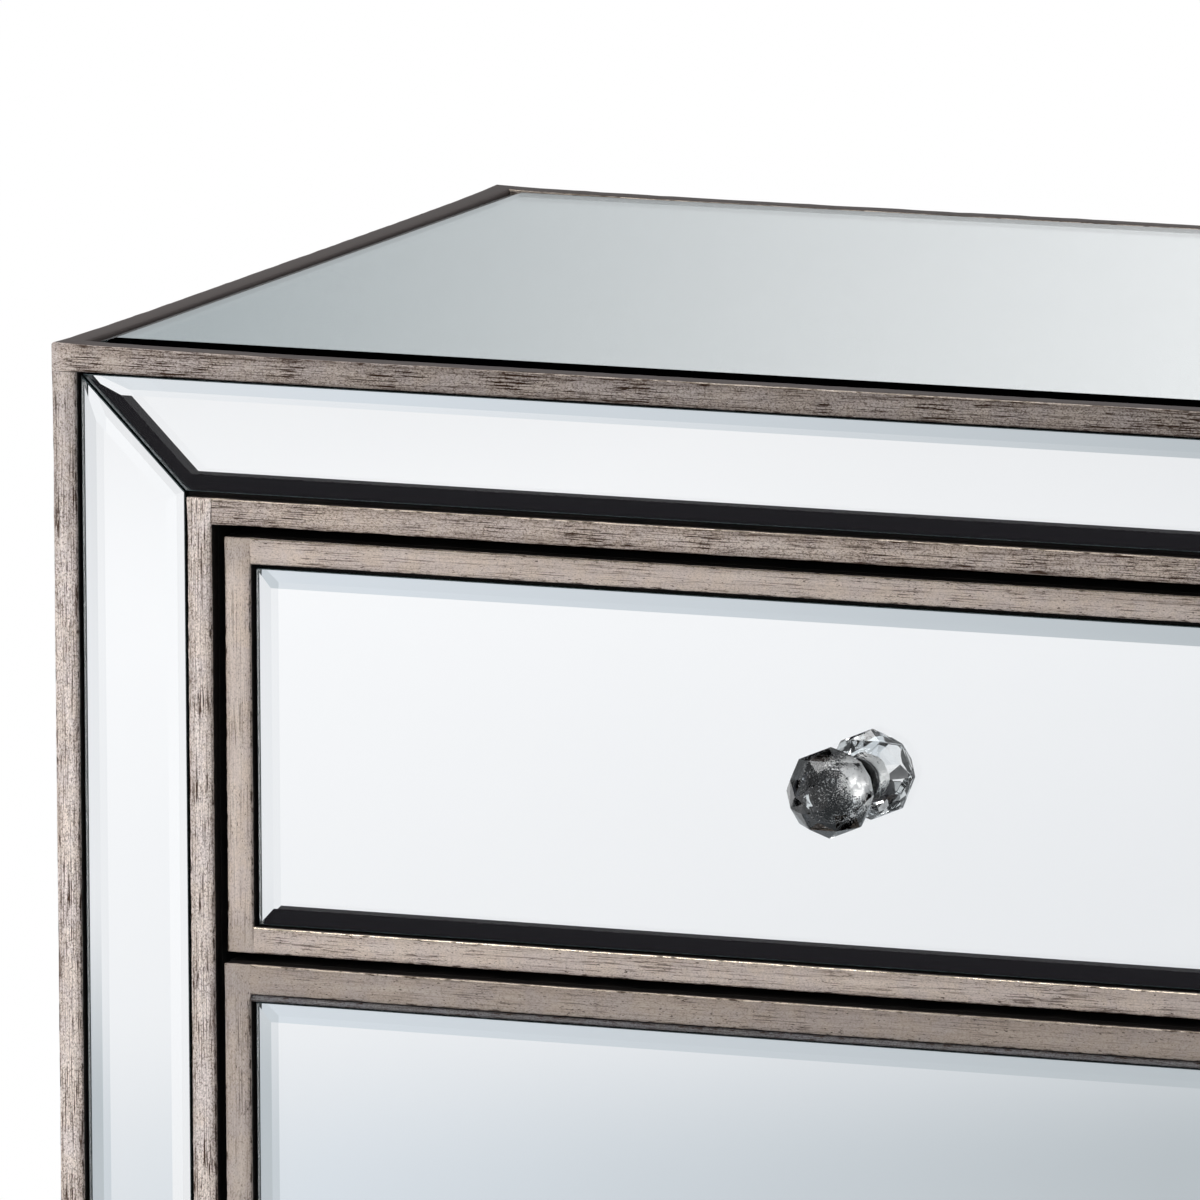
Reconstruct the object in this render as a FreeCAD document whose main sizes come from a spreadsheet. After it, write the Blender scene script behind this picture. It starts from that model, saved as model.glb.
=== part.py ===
import FreeCAD, Part
import os
import sys

import Sketcher
from FreeCAD import Placement, Rotation, Vector

# A mirrored end table with two drawers. Millimetres, +Z up, the front faces -Y.
# The origin is on the floor, at the middle of the rectangle that the table and its knobs take up.

DIMENSIONS = [
    ("case_width", 560, "across the outer strips, left to right"),
    ("case_depth", 380, "across the outer strips, front to back"),
    ("total_height", 610, "floor to the top of the edge mouldings"),
    ("leg_height", 150, "floor to the underside of the case"),
    ("strip_width", 9, "face width of the wood strips"),
    ("lower_rail", 11.5, "face width of the strip along the top of the lower drawer front"),
    ("strip_depth", 6, "face of a strip to the core behind it"),
    ("top_strip_depth", 5.2, "top of an edge moulding to the core below it"),
    ("strip_ease", 1.2, "rounding of the strips' long edges"),
    ("border_width", 39, "space for the mirrors between the outer strips and the opening trim"),
    ("glass_thickness", 5, "front and side mirrors"),
    ("top_glass_thickness", 6, "top mirror"),
    ("glass_gap", 1.5, "mirror edge to the strip beside it"),
    ("rest_gap", 0.5, "drawer mirror to the strip that it rests on"),
    ("border_gap", 0.7, "outer edge of a border mirror to the strip beside it"),
    ("mitre_gap", 0.8, "between two border mirrors at the mitre"),
    ("bevel_width", 6, "bevel across the face of a mirror"),
    ("bevel_drop", 1.6, "bevel down the edge of a mirror"),
    ("frame_thickness", 15, "face frame"),
    ("side_thickness", 12, "side panels"),
    ("top_thickness", 15, "top panel"),
    ("bottom_thickness", 15, "bottom panel"),
    ("back_thickness", 4, "back panel"),
    ("rebate_depth", 6, "how far the back panel sits into the panels round it"),
    ("rebate_clearance", 0.3, "back panel to the wall of its rebate"),
    ("reveal_side", 3, "drawer front to the trim at each side"),
    ("reveal_top", 4, "upper drawer front to the trim above it"),
    ("reveal_between", 3, "between the two drawer fronts"),
    ("reveal_bottom", 3, "lower drawer front to the trim below it"),
    ("upper_front_height", 139, "upper drawer front"),
    ("upper_recess", 3, "upper drawer front behind the face of the strips"),
    ("lower_recess", 0, "lower drawer front behind the face of the strips"),
    ("front_core", 12, "core of a drawer front"),
    ("box_side", 12, "sides of a drawer box"),
    ("box_back", 12, "back of a drawer box"),
    ("box_bottom", 4, "bottom of a drawer box"),
    ("groove_depth", 6, "groove that takes the drawer bottom"),
    ("groove_clearance", 0.2, "drawer bottom in its groove"),
    ("groove_rise", 10, "underside of a drawer box to its groove"),
    ("upper_box_height", 100, "sides of the upper drawer box"),
    ("lower_box_height", 150, "sides of the lower drawer box"),
    ("box_lift", 15, "bottom of a drawer front to the underside of its box"),
    ("box_rear_gap", 20, "drawer box to the back panel"),
    ("slide_length", 300, "case and drawer channels"),
    ("slide_setback", 3, "face frame to the front end of the channels"),
    ("slide_space", 12.7, "opening to drawer box at each side"),
    ("outer_channel", 35, "height of a case channel"),
    ("inner_channel", 26, "height of a drawer channel"),
    ("flange_reach", 3.2, "end of a channel's flanges to the back of the channel opposite"),
    ("channel_sheet", 1.2, "sheet thickness of both channels"),
    ("cage_sheet", 0.8, "sheet thickness of a ball cage"),
    ("cage_length", 76, "ball cage, front to back"),
    ("cage_clearance", 0.4, "ball cage to the drawer channel's flanges"),
    ("cage_margin", 0.5, "cage beyond the balls"),
    ("ball_clearance", 0.1, "ball to its tracks and to its hole in the cage"),
    ("ball_pitch", 14, "between the balls of one row"),
    ("block_height", 44, "runner blocks"),
    ("block_length", 330, "runner blocks"),
    ("knob_diameter", 30, "crystal across the points of its girdle"),
    ("crystal_length", 23, "crystal from its back to its table"),
    ("crystal_back_radius", 7, "ring of facets at the back of the crystal"),
    ("crystal_shoulder_radius", 13, "ring of facets behind the girdle"),
    ("crystal_shoulder_rise", 5.5, "back of the crystal to that ring"),
    ("girdle_rise", 9, "back of the crystal to its girdle"),
    ("girdle_width", 2.5, "girdle along the knob"),
    ("crown_radius", 10.5, "ring of facets in front of the girdle"),
    ("crown_rise", 18, "back of the crystal to that ring"),
    ("crystal_table_radius", 5.5, "flat at the tip of the crystal"),
    ("knob_base_length", 5, "mirror to the back of the crystal"),
    ("knob_flange_diameter", 16, "base plate of a knob"),
    ("knob_flange", 1.5, "thickness of that plate"),
    ("knob_neck_diameter", 12, "neck of a knob"),
    ("knob_screw_diameter", 4, "screw that holds a knob"),
    ("knob_screw_grip", 4, "screw inside the knob's base"),
    ("knob_screw_head", 8, "diameter of that screw's head"),
    ("knob_screw_head_height", 2.4, "height of that screw's head"),
    ("knob_screw_ease", 0.8, "chamfer of that head"),
    ("thread_clearance", 0.1, "screw or bolt to its hole, on the radius"),
    ("leg_top", 44, "width of a leg under the case"),
    ("leg_foot", 26, "width of a leg at the floor"),
    ("leg_inset", 4, "outer face of a leg behind the strips"),
    ("leg_ease", 2, "rounding of a leg's long edges"),
    ("bolt_setback", 34, "leg bolt from the outer faces of the case"),
    ("bolt_diameter", 8, "leg bolts"),
    ("bolt_grip", 40, "leg bolt inside the leg"),
    ("bolt_stand", 2, "leg bolt above its nut"),
    ("nut_flange_diameter", 20, "flange of a leg nut"),
    ("nut_flange", 1.5, "thickness of that flange"),
    ("nut_barrel_diameter", 11, "barrel of a leg nut"),
    ("nut_barrel", 11, "length of that barrel"),
    ("glide_diameter", 20, "glide under a leg"),
    ("glide_height", 4, "height of a glide"),
    ("glide_chamfer", 1, "chamfer under a glide"),
    ("glide_pin_diameter", 4, "nail of a glide"),
    ("glide_pin", 14, "length of that nail"),
    ("screw_diameter", 2.5, "back panel screws"),
    ("screw_length", 14, "back panel screws below the head"),
    ("screw_head", 6, "diameter of their heads"),
    ("screw_crown", 4.8, "diameter at the top of their heads"),
    ("screw_head_height", 1.6, "height of their heads"),
    ("screw_clearance", 0.5, "head of a back screw to the strip beside it"),
    ("screw_margin", 60, "outermost back screws from the case's edges"),
]

KNOB_SIDES = 8
BALLS_PER_ROW = 5
SEAM = 0.05  # an edge this near to the core counts as lying on it

doc = FreeCAD.newDocument("mirrored_end_table")
dims = doc.addObject("Spreadsheet::Sheet", "dims")
for row, (alias, value, note) in enumerate(DIMENSIONS, 1):
    dims.set(f"A{row}", alias)
    dims.set(f"B{row}", str(value))
    dims.set(f"C{row}", note)
    dims.setAlias(f"B{row}", alias)
doc.recompute()

nodes = []

# Planes of the case, as expressions on the sheet
right = "(dims.case_width / 2)"
knob_reach = "(dims.knob_base_length + dims.crystal_length)"
face_to_glass = "(dims.strip_depth - dims.glass_thickness)"
front = f"(({knob_reach} - {face_to_glass} - dims.lower_recess - dims.case_depth) / 2)"
rear = f"({front} + dims.case_depth)"
top = "dims.total_height"
under = "dims.leg_height"
core_right = f"({right} - dims.strip_depth)"
core_front = f"({front} + dims.strip_depth)"
core_rear = f"({rear} - dims.strip_depth)"
core_top = f"({top} - dims.top_strip_depth)"
frame_rear = f"({core_front} + dims.frame_thickness)"
side_inner = f"({core_right} - dims.side_thickness)"
back_front = f"({core_rear} - dims.back_thickness)"
border = "(2 * dims.strip_width + dims.border_width)"
open_right = f"({right} - {border})"
open_top = f"({top} - {border})"
open_bottom = f"({under} + {border})"

# Planes of the drawers and their slides
box_right = f"({open_right} - dims.slide_space)"
box_inner = f"({box_right} - dims.box_side)"
box_rear = f"({back_front} - dims.box_rear_gap)"
slide_middle = f"({frame_rear} + dims.slide_setback + dims.slide_length / 2)"

no_turn = Rotation()
face_front = Rotation(Vector(1, 0, 0), Vector(0, 0, 1), Vector(0, -1, 0), "XYZ")
face_front_from_top = Rotation(Vector(-1, 0, 0), Vector(0, 0, -1), Vector(0, -1, 0), "XYZ")
face_front_from_left = Rotation(Vector(0, 0, -1), Vector(1, 0, 0), Vector(0, -1, 0), "XYZ")
face_front_from_right = Rotation(Vector(0, 0, 1), Vector(-1, 0, 0), Vector(0, -1, 0), "XYZ")
face_left = Rotation(Vector(0, -1, 0), Vector(0, 0, 1), Vector(-1, 0, 0), "XYZ")
face_right = Rotation(Vector(0, 1, 0), Vector(0, 0, 1), Vector(1, 0, 0), "XYZ")
along_rear = Rotation(Vector(1, 0, 0), Vector(0, 0, -1), Vector(0, 1, 0), "XYZ")
half_turn = Rotation(Vector(0, 0, 1), 180)


def size_of(expression):
    """Number that an expression on the sheet gives now."""
    return float(dims.evalExpression(expression))


def place(made, corner, turn=no_turn):
    """Turn an object, then bind where its own origin lies."""
    made.Placement = Placement(Vector(), turn)
    for axis, expression in zip("xyz", corner):
        made.setExpression(f"Placement.Base.{axis}", expression)
    return made


def bind(made, sizes):
    for name, expression in sizes.items():
        made.setExpression(name, expression)
    return made


def node(label, made):
    """Mark an object as a finished sub-part."""
    made.Label = label
    nodes.append(made)
    return made


def group(label, members):
    made = doc.addObject("Part::Compound", label)
    made.Links = members
    return node(label, made)


def box(name, low, high):
    """Block between two opposite corners."""
    made = doc.addObject("Part::Box", name)
    lengths = [f"({stop}) - ({start})" for start, stop in zip(low, high)]
    bind(made, dict(zip(("Length", "Width", "Height"), lengths)))
    return place(made, low)


def cylinder(name, radius, length, base, turn=no_turn):
    made = doc.addObject("Part::Cylinder", name)
    bind(made, {"Radius": radius, "Height": length})
    return place(made, base, turn)


def trapezoid(name, long_side, inset, depth, height, corner, turn=no_turn):
    """Block that narrows by inset at each end over its depth, as a mitred strip does."""
    made = doc.addObject("Part::Wedge", name)
    bind(made, {"Xmin": "0", "Xmax": long_side, "Ymin": "0", "Ymax": depth, "Zmin": "0", "Zmax": height})
    bind(made, {"X2min": inset, "X2max": f"{long_side} - {inset}", "Z2min": "0", "Z2max": height})
    return place(made, corner, turn)


def cut(name, base, tools):
    made = doc.addObject("Part::Cut", name)
    made.Base = base
    if len(tools) == 1:
        made.Tool = tools[0]
        return made
    joined = doc.addObject("Part::Compound", f"{name}_tools")
    joined.Links = tools
    made.Tool = joined
    return made


def rounded(name, base, radius, chosen):
    """Round the edges of an object that a test on an edge chooses."""
    made = doc.addObject("Part::Fillet", name)
    made.Base = base
    edges = enumerate(base.Shape.Edges, 1)
    made.Edges = [(index, radius, radius) for index, edge in edges if chosen(edge)]
    return made


def eased(name, base, backing):
    """Round the long edges of a strip that don't lie on the core behind it."""
    doc.recompute()
    touching = backing.Shape.BoundBox
    touching.enlarge(SEAM)

    def free(edge):
        middle = edge.valueAt((edge.FirstParameter + edge.LastParameter) / 2)
        return edge.Length > 3 * dims.strip_width and not touching.isInside(middle)

    return rounded(name, base, dims.strip_ease, free)


def outline(body, plane, points):
    """Closed sketch of straight lines through points given as expressions."""
    sketch = body.newObject("Sketcher::SketchObject", f"{body.Name}_outline")
    support = [feature for feature in body.Origin.OriginFeatures if feature.Role == plane][0]
    sketch.AttachmentSupport = [(support, "")]
    sketch.MapMode = "FlatFace"
    places = [Vector(size_of(u), size_of(v), 0) for u, v in points]
    count = len(points)
    for index in range(count):
        sketch.addGeometry(Part.LineSegment(places[index], places[(index + 1) % count]), False)
    for index in range(count):
        sketch.addConstraint(Sketcher.Constraint("Coincident", index, 2, (index + 1) % count, 1))
    for index, (u, v) in enumerate(points):
        for kind, value, now in (("DistanceX", u, places[index].x), ("DistanceY", v, places[index].y)):
            number = sketch.addConstraint(Sketcher.Constraint(kind, -1, 1, index, 1, now))
            sketch.setExpression(f"Constraints[{number}]", value)
    return sketch


def turned(name, profile, base, turn=no_turn):
    """Piece of revolution; the profile is (radius, height) up its own axis."""
    body = doc.addObject("PartDesign::Body", name)
    sketch = outline(body, "XZ_Plane", profile)
    spin = body.newObject("PartDesign::Revolution", f"{name}_spin")
    spin.Profile = sketch
    spin.ReferenceAxis = (sketch, ["V_Axis"])
    spin.Angle = 360
    return place(body, base, turn)


def channel(name, profile, length, base, turn):
    """Bent sheet of constant section, its length centred on its own origin."""
    body = doc.addObject("PartDesign::Body", name)
    sketch = outline(body, "XZ_Plane", profile)
    pad = body.newObject("PartDesign::Pad", f"{name}_pad")
    pad.Profile = sketch
    pad.SideType = "Symmetric"
    pad.setExpression("Length", length)
    return place(body, base, turn)


def mirror(name, long_side, inset, height, thickness, corner, turn):
    """Mirror plate with a bevel round its face; its long side starts at the corner."""
    body = doc.addObject("PartDesign::Body", name)
    points = [("0", "0"), (long_side, "0"), (f"{long_side} - {inset}", height), (inset, height)]
    sketch = outline(body, "XY_Plane", points)
    pad = body.newObject("PartDesign::Pad", f"{name}_plate")
    pad.Profile = sketch
    pad.setExpression("Length", thickness)
    doc.recompute()
    face = [index for index, one in enumerate(pad.Shape.Faces, 1) if one.normalAt(0, 0).z > 0.9]
    bevel = body.newObject("PartDesign::Chamfer", f"{name}_bevel")
    bevel.Base = (pad, [f"Face{face[0]}"])
    bevel.ChamferType = "Two distances"
    bind(bevel, {"Size": "dims.bevel_drop", "Size2": "dims.bevel_width"})
    return place(body, corner, turn)


def make_core():
    """Panels and face frame that everything else is fixed to."""
    back_reach = f"({side_inner} + dims.rebate_depth - dims.rebate_clearance)"
    back_top = f"({core_top} - dims.top_thickness + dims.rebate_depth - dims.rebate_clearance)"
    side_top = f"({core_top} - dims.top_thickness)"
    rebate = box(
        "rebate",
        (f"-{back_reach} - dims.rebate_clearance", back_front, under),
        (f"{back_reach} + dims.rebate_clearance", core_rear, f"{back_top} + dims.rebate_clearance"),
    )
    back = box("back_blank", (f"-{back_reach}", back_front, under), (back_reach, core_rear, back_top))
    left = box("left_blank", (f"-{core_right}", frame_rear, under), (f"-{side_inner}", core_rear, side_top))
    right_blank = box("right_blank", (side_inner, frame_rear, under), (core_right, core_rear, side_top))
    lid = box("top_blank", (f"-{core_right}", frame_rear, side_top), (core_right, core_rear, core_top))
    floor_top = f"({under} + dims.bottom_thickness)"
    floor = box("bottom_blank", (f"-{side_inner}", frame_rear, under), (side_inner, back_front, floor_top))

    spots = back_screw_spots(back_reach, back_top)
    holes = [back_screw_hole(f"back_hole_{index}", x, z) for index, (x, z) in enumerate(spots)]
    nut_holes = []
    for name, side, end, inward, angle in corners():
        nut_holes.append(nut_hole(f"nut_hole_{name}", *corner_spot(side, end, inward, "dims.bolt_setback")))
    node("back_panel", cut("back_panel", back, holes))
    node("left_side_panel", cut("left_side_panel", left, [rebate] + holes))
    node("right_side_panel", cut("right_side_panel", right_blank, [rebate] + holes))
    node("top_panel", cut("top_panel", lid, [rebate] + holes))
    node("bottom_panel", cut("bottom_panel", floor, nut_holes + holes))
    group("back_panel_screws", [back_screw(f"back_screw_{i}", x, z) for i, (x, z) in enumerate(spots)])

    stile_low = (open_right, core_front, under)
    node("face_frame_right", box("face_frame_right", stile_low, (core_right, frame_rear, core_top)))
    stile_high = (f"-{open_right}", frame_rear, core_top)
    node("face_frame_left", box("face_frame_left", (f"-{core_right}", core_front, under), stile_high))
    rail_low = (f"-{open_right}", core_front, open_top)
    node("face_frame_top", box("face_frame_top", rail_low, (open_right, frame_rear, core_top)))
    rail_low = (f"-{open_right}", core_front, under)
    node("face_frame_bottom", box("face_frame_bottom", rail_low, (open_right, frame_rear, open_bottom)))


def back_screw_spots(back_reach, back_top):
    """Places (x, z) of the screws round the back panel."""
    side = f"({back_reach} - dims.rebate_depth / 2)"
    high = f"({back_top} - dims.rebate_depth / 2)"
    low = f"({under} + dims.strip_width + dims.screw_clearance + dims.screw_head / 2)"
    across = f"({right} - 2 * dims.screw_margin)"
    span = f"({top} - {under} - 2 * dims.screw_margin)"
    heights = [f"({under} + dims.screw_margin + {span} * {step} / 2)" for step in range(3)]
    spots = [(sign + side, z) for sign in ("-", "") for z in heights]
    return spots + [(sign + across, z) for sign in ("-", "") for z in (high, low)]


def back_screw(name, x, z):
    shank = "dims.screw_diameter / 2"
    head = "dims.screw_head / 2"
    length = "dims.screw_length"
    rise = f"{length} + dims.screw_head_height"
    crown = "dims.screw_crown / 2"
    profile = [("0", "0"), (shank, "0"), (shank, length), (head, length), (crown, rise), ("0", rise)]
    return turned(name, profile, (x, f"{core_rear} - dims.screw_length", z), along_rear)


def back_screw_hole(name, x, z):
    radius = "dims.screw_diameter / 2 + dims.thread_clearance"
    length = "dims.screw_length + dims.thread_clearance"
    return cylinder(name, radius, length, (x, f"{core_rear} - ({length})", z), along_rear)


def corners():
    """Each leg's name, its side, its end of the case, the way inwards in Y, and its quarter turn."""
    return [
        ("front_left", "-", front, "+", 0),
        ("front_right", "", front, "+", 90),
        ("back_right", "", rear, "-", 180),
        ("back_left", "-", rear, "-", 270),
    ]


def corner_spot(side, end, inward, distance):
    """Point at one distance from the two outer faces that meet at a corner of the case."""
    return f"{side}({right} - ({distance}))", f"{end} {inward} ({distance})"


def nut_hole(name, x, y):
    radius = "dims.nut_barrel_diameter / 2 + dims.thread_clearance"
    return cylinder(name, radius, "dims.bottom_thickness", (x, y, under))


def make_edges():
    """Mouldings, posts and strips along the outer edges of the case, and the trim round the opening."""
    core = box("core", (f"-{core_right}", core_front, under), (core_right, core_rear, core_top))
    width = "dims.strip_width"
    runs = [
        ("front", "dims.case_width", (f"-{right}", front), 0),
        ("right", "dims.case_depth", (right, front), 90),
        ("back", "dims.case_width", (right, rear), 180),
        ("left", "dims.case_depth", (f"-{right}", rear), 270),
    ]
    for side, length, (x, y), angle in runs:
        turn = Rotation(Vector(0, 0, 1), angle)
        corner = (x, y, f"{top} - {width}")
        blank = trapezoid(f"top_{side}_blank", length, width, width, width, corner, turn)
        moulding = cut(f"top_{side}_moulding", blank, [core])
        node(f"top_edge_{side}", eased(f"top_edge_{side}", moulding, core))

    strips = []
    for side, length, (x, y), angle in runs:
        turn = Rotation(Vector(0, 0, 1), angle)
        name = f"bottom_{side}_strip"
        depth = "dims.strip_depth"
        blank = trapezoid(f"{name}_blank", length, depth, depth, width, (x, y, under), turn)
        strips.append(eased(name, blank, core))
    group("bottom_edge_strips", strips)

    low = f"{under} + {width}"
    high = f"{top} - {width}"
    spans = {"left": (f"-{right}", f"-{right} + {width}"), "right": (f"{right} - {width}", right)}
    depths = {"front": (front, f"{front} + {width}"), "back": (f"{rear} - {width}", rear)}
    for end, (near, far) in depths.items():
        for side, (start, stop) in spans.items():
            name = f"corner_post_{end}_{side}"
            post = cut(f"{name}_blank", box(f"{name}_box", (start, near, low), (stop, far, high)), [core])
            node(name, eased(name, post, core))

    outer = f"({open_right} + {width})"
    sizes = (f"-{outer}", outer, f"{open_bottom} - {width}", f"{open_top} + {width}")
    group("opening_trim", strip_frame("opening_trim", sizes, front, core, width))


def strip_frame(name, sizes, face, backing, top_width):
    """Four strips on a face: stiles run the full height, rails butt between them."""
    left, right_end, low, high = sizes
    width = "dims.strip_width"
    rear_face = f"{face} + dims.strip_depth"
    rail_left = f"{left} + {width}"
    rail_right = f"{right_end} - {width}"
    spans = {
        "left": ((left, face, low), (rail_left, rear_face, high)),
        "right": ((rail_right, face, low), (right_end, rear_face, high)),
        "top": ((rail_left, face, f"{high} - {top_width}"), (rail_right, rear_face, high)),
        "bottom": ((rail_left, face, low), (rail_right, rear_face, f"{low} + {width}")),
    }
    blanks = {side: box(f"{name}_{side}_blank", *span) for side, span in spans.items()}
    return [eased(f"{name}_{side}", blank, backing) for side, blank in blanks.items()]


def make_mirrors():
    """Bevelled mirrors on the top, the sides and round the opening."""
    margin = "(dims.strip_width + dims.glass_gap)"
    tall = f"({top} - {under} - 2 * {margin})"
    deep = f"(dims.case_depth - 2 * {margin})"
    wide = f"(dims.case_width - 2 * {margin})"
    x = f"({right} - {margin})"
    y = f"({front} + {margin})"
    z = f"({under} + {margin})"
    far = f"({rear} - {margin})"
    thick = "dims.glass_thickness"
    panes = [
        ("top_mirror", wide, deep, "dims.top_glass_thickness", (f"-{x}", y, core_top), no_turn),
        ("left_side_mirror", deep, tall, thick, (f"-{core_right}", far, z), face_left),
        ("right_side_mirror", deep, tall, thick, (core_right, y, z), face_right),
    ]
    for name, length, height, thickness, corner, turn in panes:
        node(name, mirror(name, length, "0", height, thickness, corner, turn))

    rim = "(dims.strip_width + dims.border_gap)"
    nip = "(dims.mitre_gap * sqrt(2) / 2)"
    band = "(dims.border_width - dims.border_gap - dims.glass_gap)"
    across = f"(dims.case_width - 2 * {rim} - 2 * {nip})"
    upright = f"({top} - {under} - 2 * {rim} - 2 * {nip})"
    x = f"({right} - {rim})"
    z = f"({under} + {rim})"
    ceiling = f"({top} - {rim})"
    bands = [
        ("bottom", across, (f"-{x} + {nip}", core_front, z), face_front),
        ("top", across, (f"{x} - {nip}", core_front, ceiling), face_front_from_top),
        ("left", upright, (f"-{x}", core_front, f"{ceiling} - {nip}"), face_front_from_left),
        ("right", upright, (x, core_front, f"{z} + {nip}"), face_front_from_right),
    ]
    for side, length, corner, turn in bands:
        name = f"border_mirror_{side}"
        node(name, mirror(name, length, band, band, thick, corner, turn))


def make_legs():
    """Legs that taper on their two inner faces, with the bolts, nuts and glides that go with them."""
    bolts = []
    nuts = []
    glides = []
    length = "(dims.leg_height - dims.glide_height)"
    bore = "dims.bolt_diameter / 2 + dims.thread_clearance"
    pin_hole = "dims.glide_pin_diameter / 2 + dims.thread_clearance"
    for name, side, end, inward, angle in corners():
        outer_x, outer_y = corner_spot(side, end, inward, "dims.leg_inset")
        foot_x, foot_y = corner_spot(side, end, inward, "dims.leg_inset + dims.leg_foot / 2")
        x, y = corner_spot(side, end, inward, "dims.bolt_setback")
        blank = doc.addObject("Part::Wedge", f"leg_{name}_blank")
        low = {"Xmin": "0", "Xmax": "dims.leg_foot", "Zmin": "0", "Zmax": "dims.leg_foot", "Ymin": "0"}
        high = {"X2min": "0", "X2max": "dims.leg_top", "Z2min": "0", "Z2max": "dims.leg_top", "Ymax": length}
        bind(blank, low)
        bind(blank, high)
        turn = Rotation(Vector(0, 0, 1), angle).multiply(face_right)
        place(blank, (outer_x, outer_y, "dims.glide_height"), turn)
        doc.recompute()
        tapered = rounded(f"leg_{name}_rounded", blank, dims.leg_ease, is_leg_edge)
        bolt_hole = cylinder(f"leg_{name}_bore", bore, "dims.bolt_grip", (x, y, f"{under} - dims.bolt_grip"))
        nail_base = (foot_x, foot_y, "dims.glide_height")
        nail_hole = cylinder(f"leg_{name}_nail_hole", pin_hole, "dims.glide_pin", nail_base)
        node(f"leg_{name}", cut(f"leg_{name}", tapered, [bolt_hole, nail_hole]))
        bolts.append(leg_bolt(f"leg_bolt_{name}", x, y))
        nuts.append(leg_nut(f"leg_nut_{name}", x, y))
        glides.append(foot_glide(f"foot_glide_{name}", foot_x, foot_y))
    group("leg_bolts", bolts)
    group("leg_nuts", nuts)
    group("foot_glides", glides)


def is_leg_edge(edge):
    """A long edge of a leg, which runs from its top to its foot."""
    return edge.Length > 2 * dims.leg_top


def leg_bolt(name, x, y):
    radius = "dims.bolt_diameter / 2"
    length = "(dims.bolt_grip + dims.bottom_thickness + dims.nut_flange + dims.bolt_stand)"
    profile = [("0", "0"), (radius, "0"), (radius, length), ("0", length)]
    return turned(name, profile, (x, y, f"{under} - dims.bolt_grip"))


def leg_nut(name, x, y):
    bore = "(dims.bolt_diameter / 2 + dims.thread_clearance)"
    barrel = "dims.nut_barrel_diameter / 2"
    flange = "dims.nut_flange_diameter / 2"
    step = "dims.nut_barrel"
    crown = "(dims.nut_barrel + dims.nut_flange)"
    profile = [(bore, "0"), (barrel, "0"), (barrel, step), (flange, step), (flange, crown), (bore, crown)]
    return turned(name, profile, (x, y, f"{under} + dims.bottom_thickness - dims.nut_barrel"))


def foot_glide(name, x, y):
    rim = "dims.glide_diameter / 2"
    pin = "dims.glide_pin_diameter / 2"
    step = "dims.glide_height"
    tip = "(dims.glide_height + dims.glide_pin)"
    ease = "dims.glide_chamfer"
    profile = [
        ("0", "0"), (f"{rim} - {ease}", "0"), (rim, ease), (rim, step),
        (pin, step), (pin, tip), ("0", tip),
    ]
    return turned(name, profile, (x, y, "0"))


def make_drawer(name, low, high, recess, box_height, top_rail):
    """Drawer front, box, knob and slides; returns its case channels and runner blocks."""
    face = f"({front} + {recess})"
    core_face = f"({face} + dims.strip_depth)"
    core_back = f"({core_face} + dims.front_core)"
    edge = f"({open_right} - dims.reveal_side)"
    floor = f"({low} + dims.box_lift)"
    panel_low = f"({floor} + dims.groove_rise)"
    panel_high = f"({panel_low} + dims.box_bottom)"
    groove_high = f"({panel_high} + dims.groove_clearance)"
    tongue = "(dims.groove_depth - dims.groove_clearance)"
    reach = f"({box_inner} + dims.groove_depth)"
    knob_z = f"(({low} + {high}) / 2)"

    screw_hole = cylinder(
        f"{name}_screw_hole",
        "dims.knob_screw_diameter / 2 + dims.thread_clearance",
        "dims.front_core + dims.glass_thickness",
        ("0", core_back, knob_z),
        face_front,
    )
    groove = box(
        f"{name}_groove",
        (f"-{reach}", f"{core_back} - dims.groove_depth", panel_low),
        (reach, box_rear, groove_high),
    )
    blank = box(f"{name}_front_blank", (f"-{edge}", core_face, low), (edge, core_back, high))
    panel = node(f"{name}_front", cut(f"{name}_front", blank, [groove, screw_hole]))
    strips = strip_frame(f"{name}_trim", (f"-{edge}", edge, low, high), face, panel, top_rail)
    group(f"{name}_trim", strips)

    margin = "(dims.strip_width + dims.glass_gap)"
    wide = f"(2 * ({edge} - {margin}))"
    rest = "(dims.strip_width + dims.rest_gap)"
    tall = f"({high} - {low} - {rest} - {top_rail} - dims.glass_gap)"
    corner = (f"-({edge} - {margin})", core_face, f"{low} + {rest}")
    plate = mirror(f"{name}_plate", wide, "0", tall, "dims.glass_thickness", corner, face_front)
    node(f"{name}_mirror", cut(f"{name}_mirror", plate, [screw_hole]))

    side_low = (box_inner, core_back, floor)
    right_blank = box(f"{name}_right_blank", side_low, (box_right, box_rear, f"{floor} + {box_height}"))
    side_high = (f"-{box_inner}", box_rear, f"{floor} + {box_height}")
    left_blank = box(f"{name}_left_blank", (f"-{box_right}", core_back, floor), side_high)
    node(f"{name}_side_left", cut(f"{name}_side_left", left_blank, [groove]))
    node(f"{name}_side_right", cut(f"{name}_side_right", right_blank, [groove]))
    back_low = (f"-{box_inner}", f"{box_rear} - dims.box_back", panel_high)
    node(f"{name}_back", box(f"{name}_back", back_low, (box_inner, box_rear, f"{floor} + {box_height}")))
    panel_reach = f"({box_inner} + {tongue})"
    bottom_low = (f"-{panel_reach}", f"{core_back} - {tongue}", panel_low)
    node(f"{name}_bottom", box(f"{name}_bottom", bottom_low, (panel_reach, box_rear, panel_high)))

    make_knob(name, f"{core_face} - dims.glass_thickness", core_back, knob_z)
    return make_slides(name, f"({floor} + {box_height} / 2)")


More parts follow.
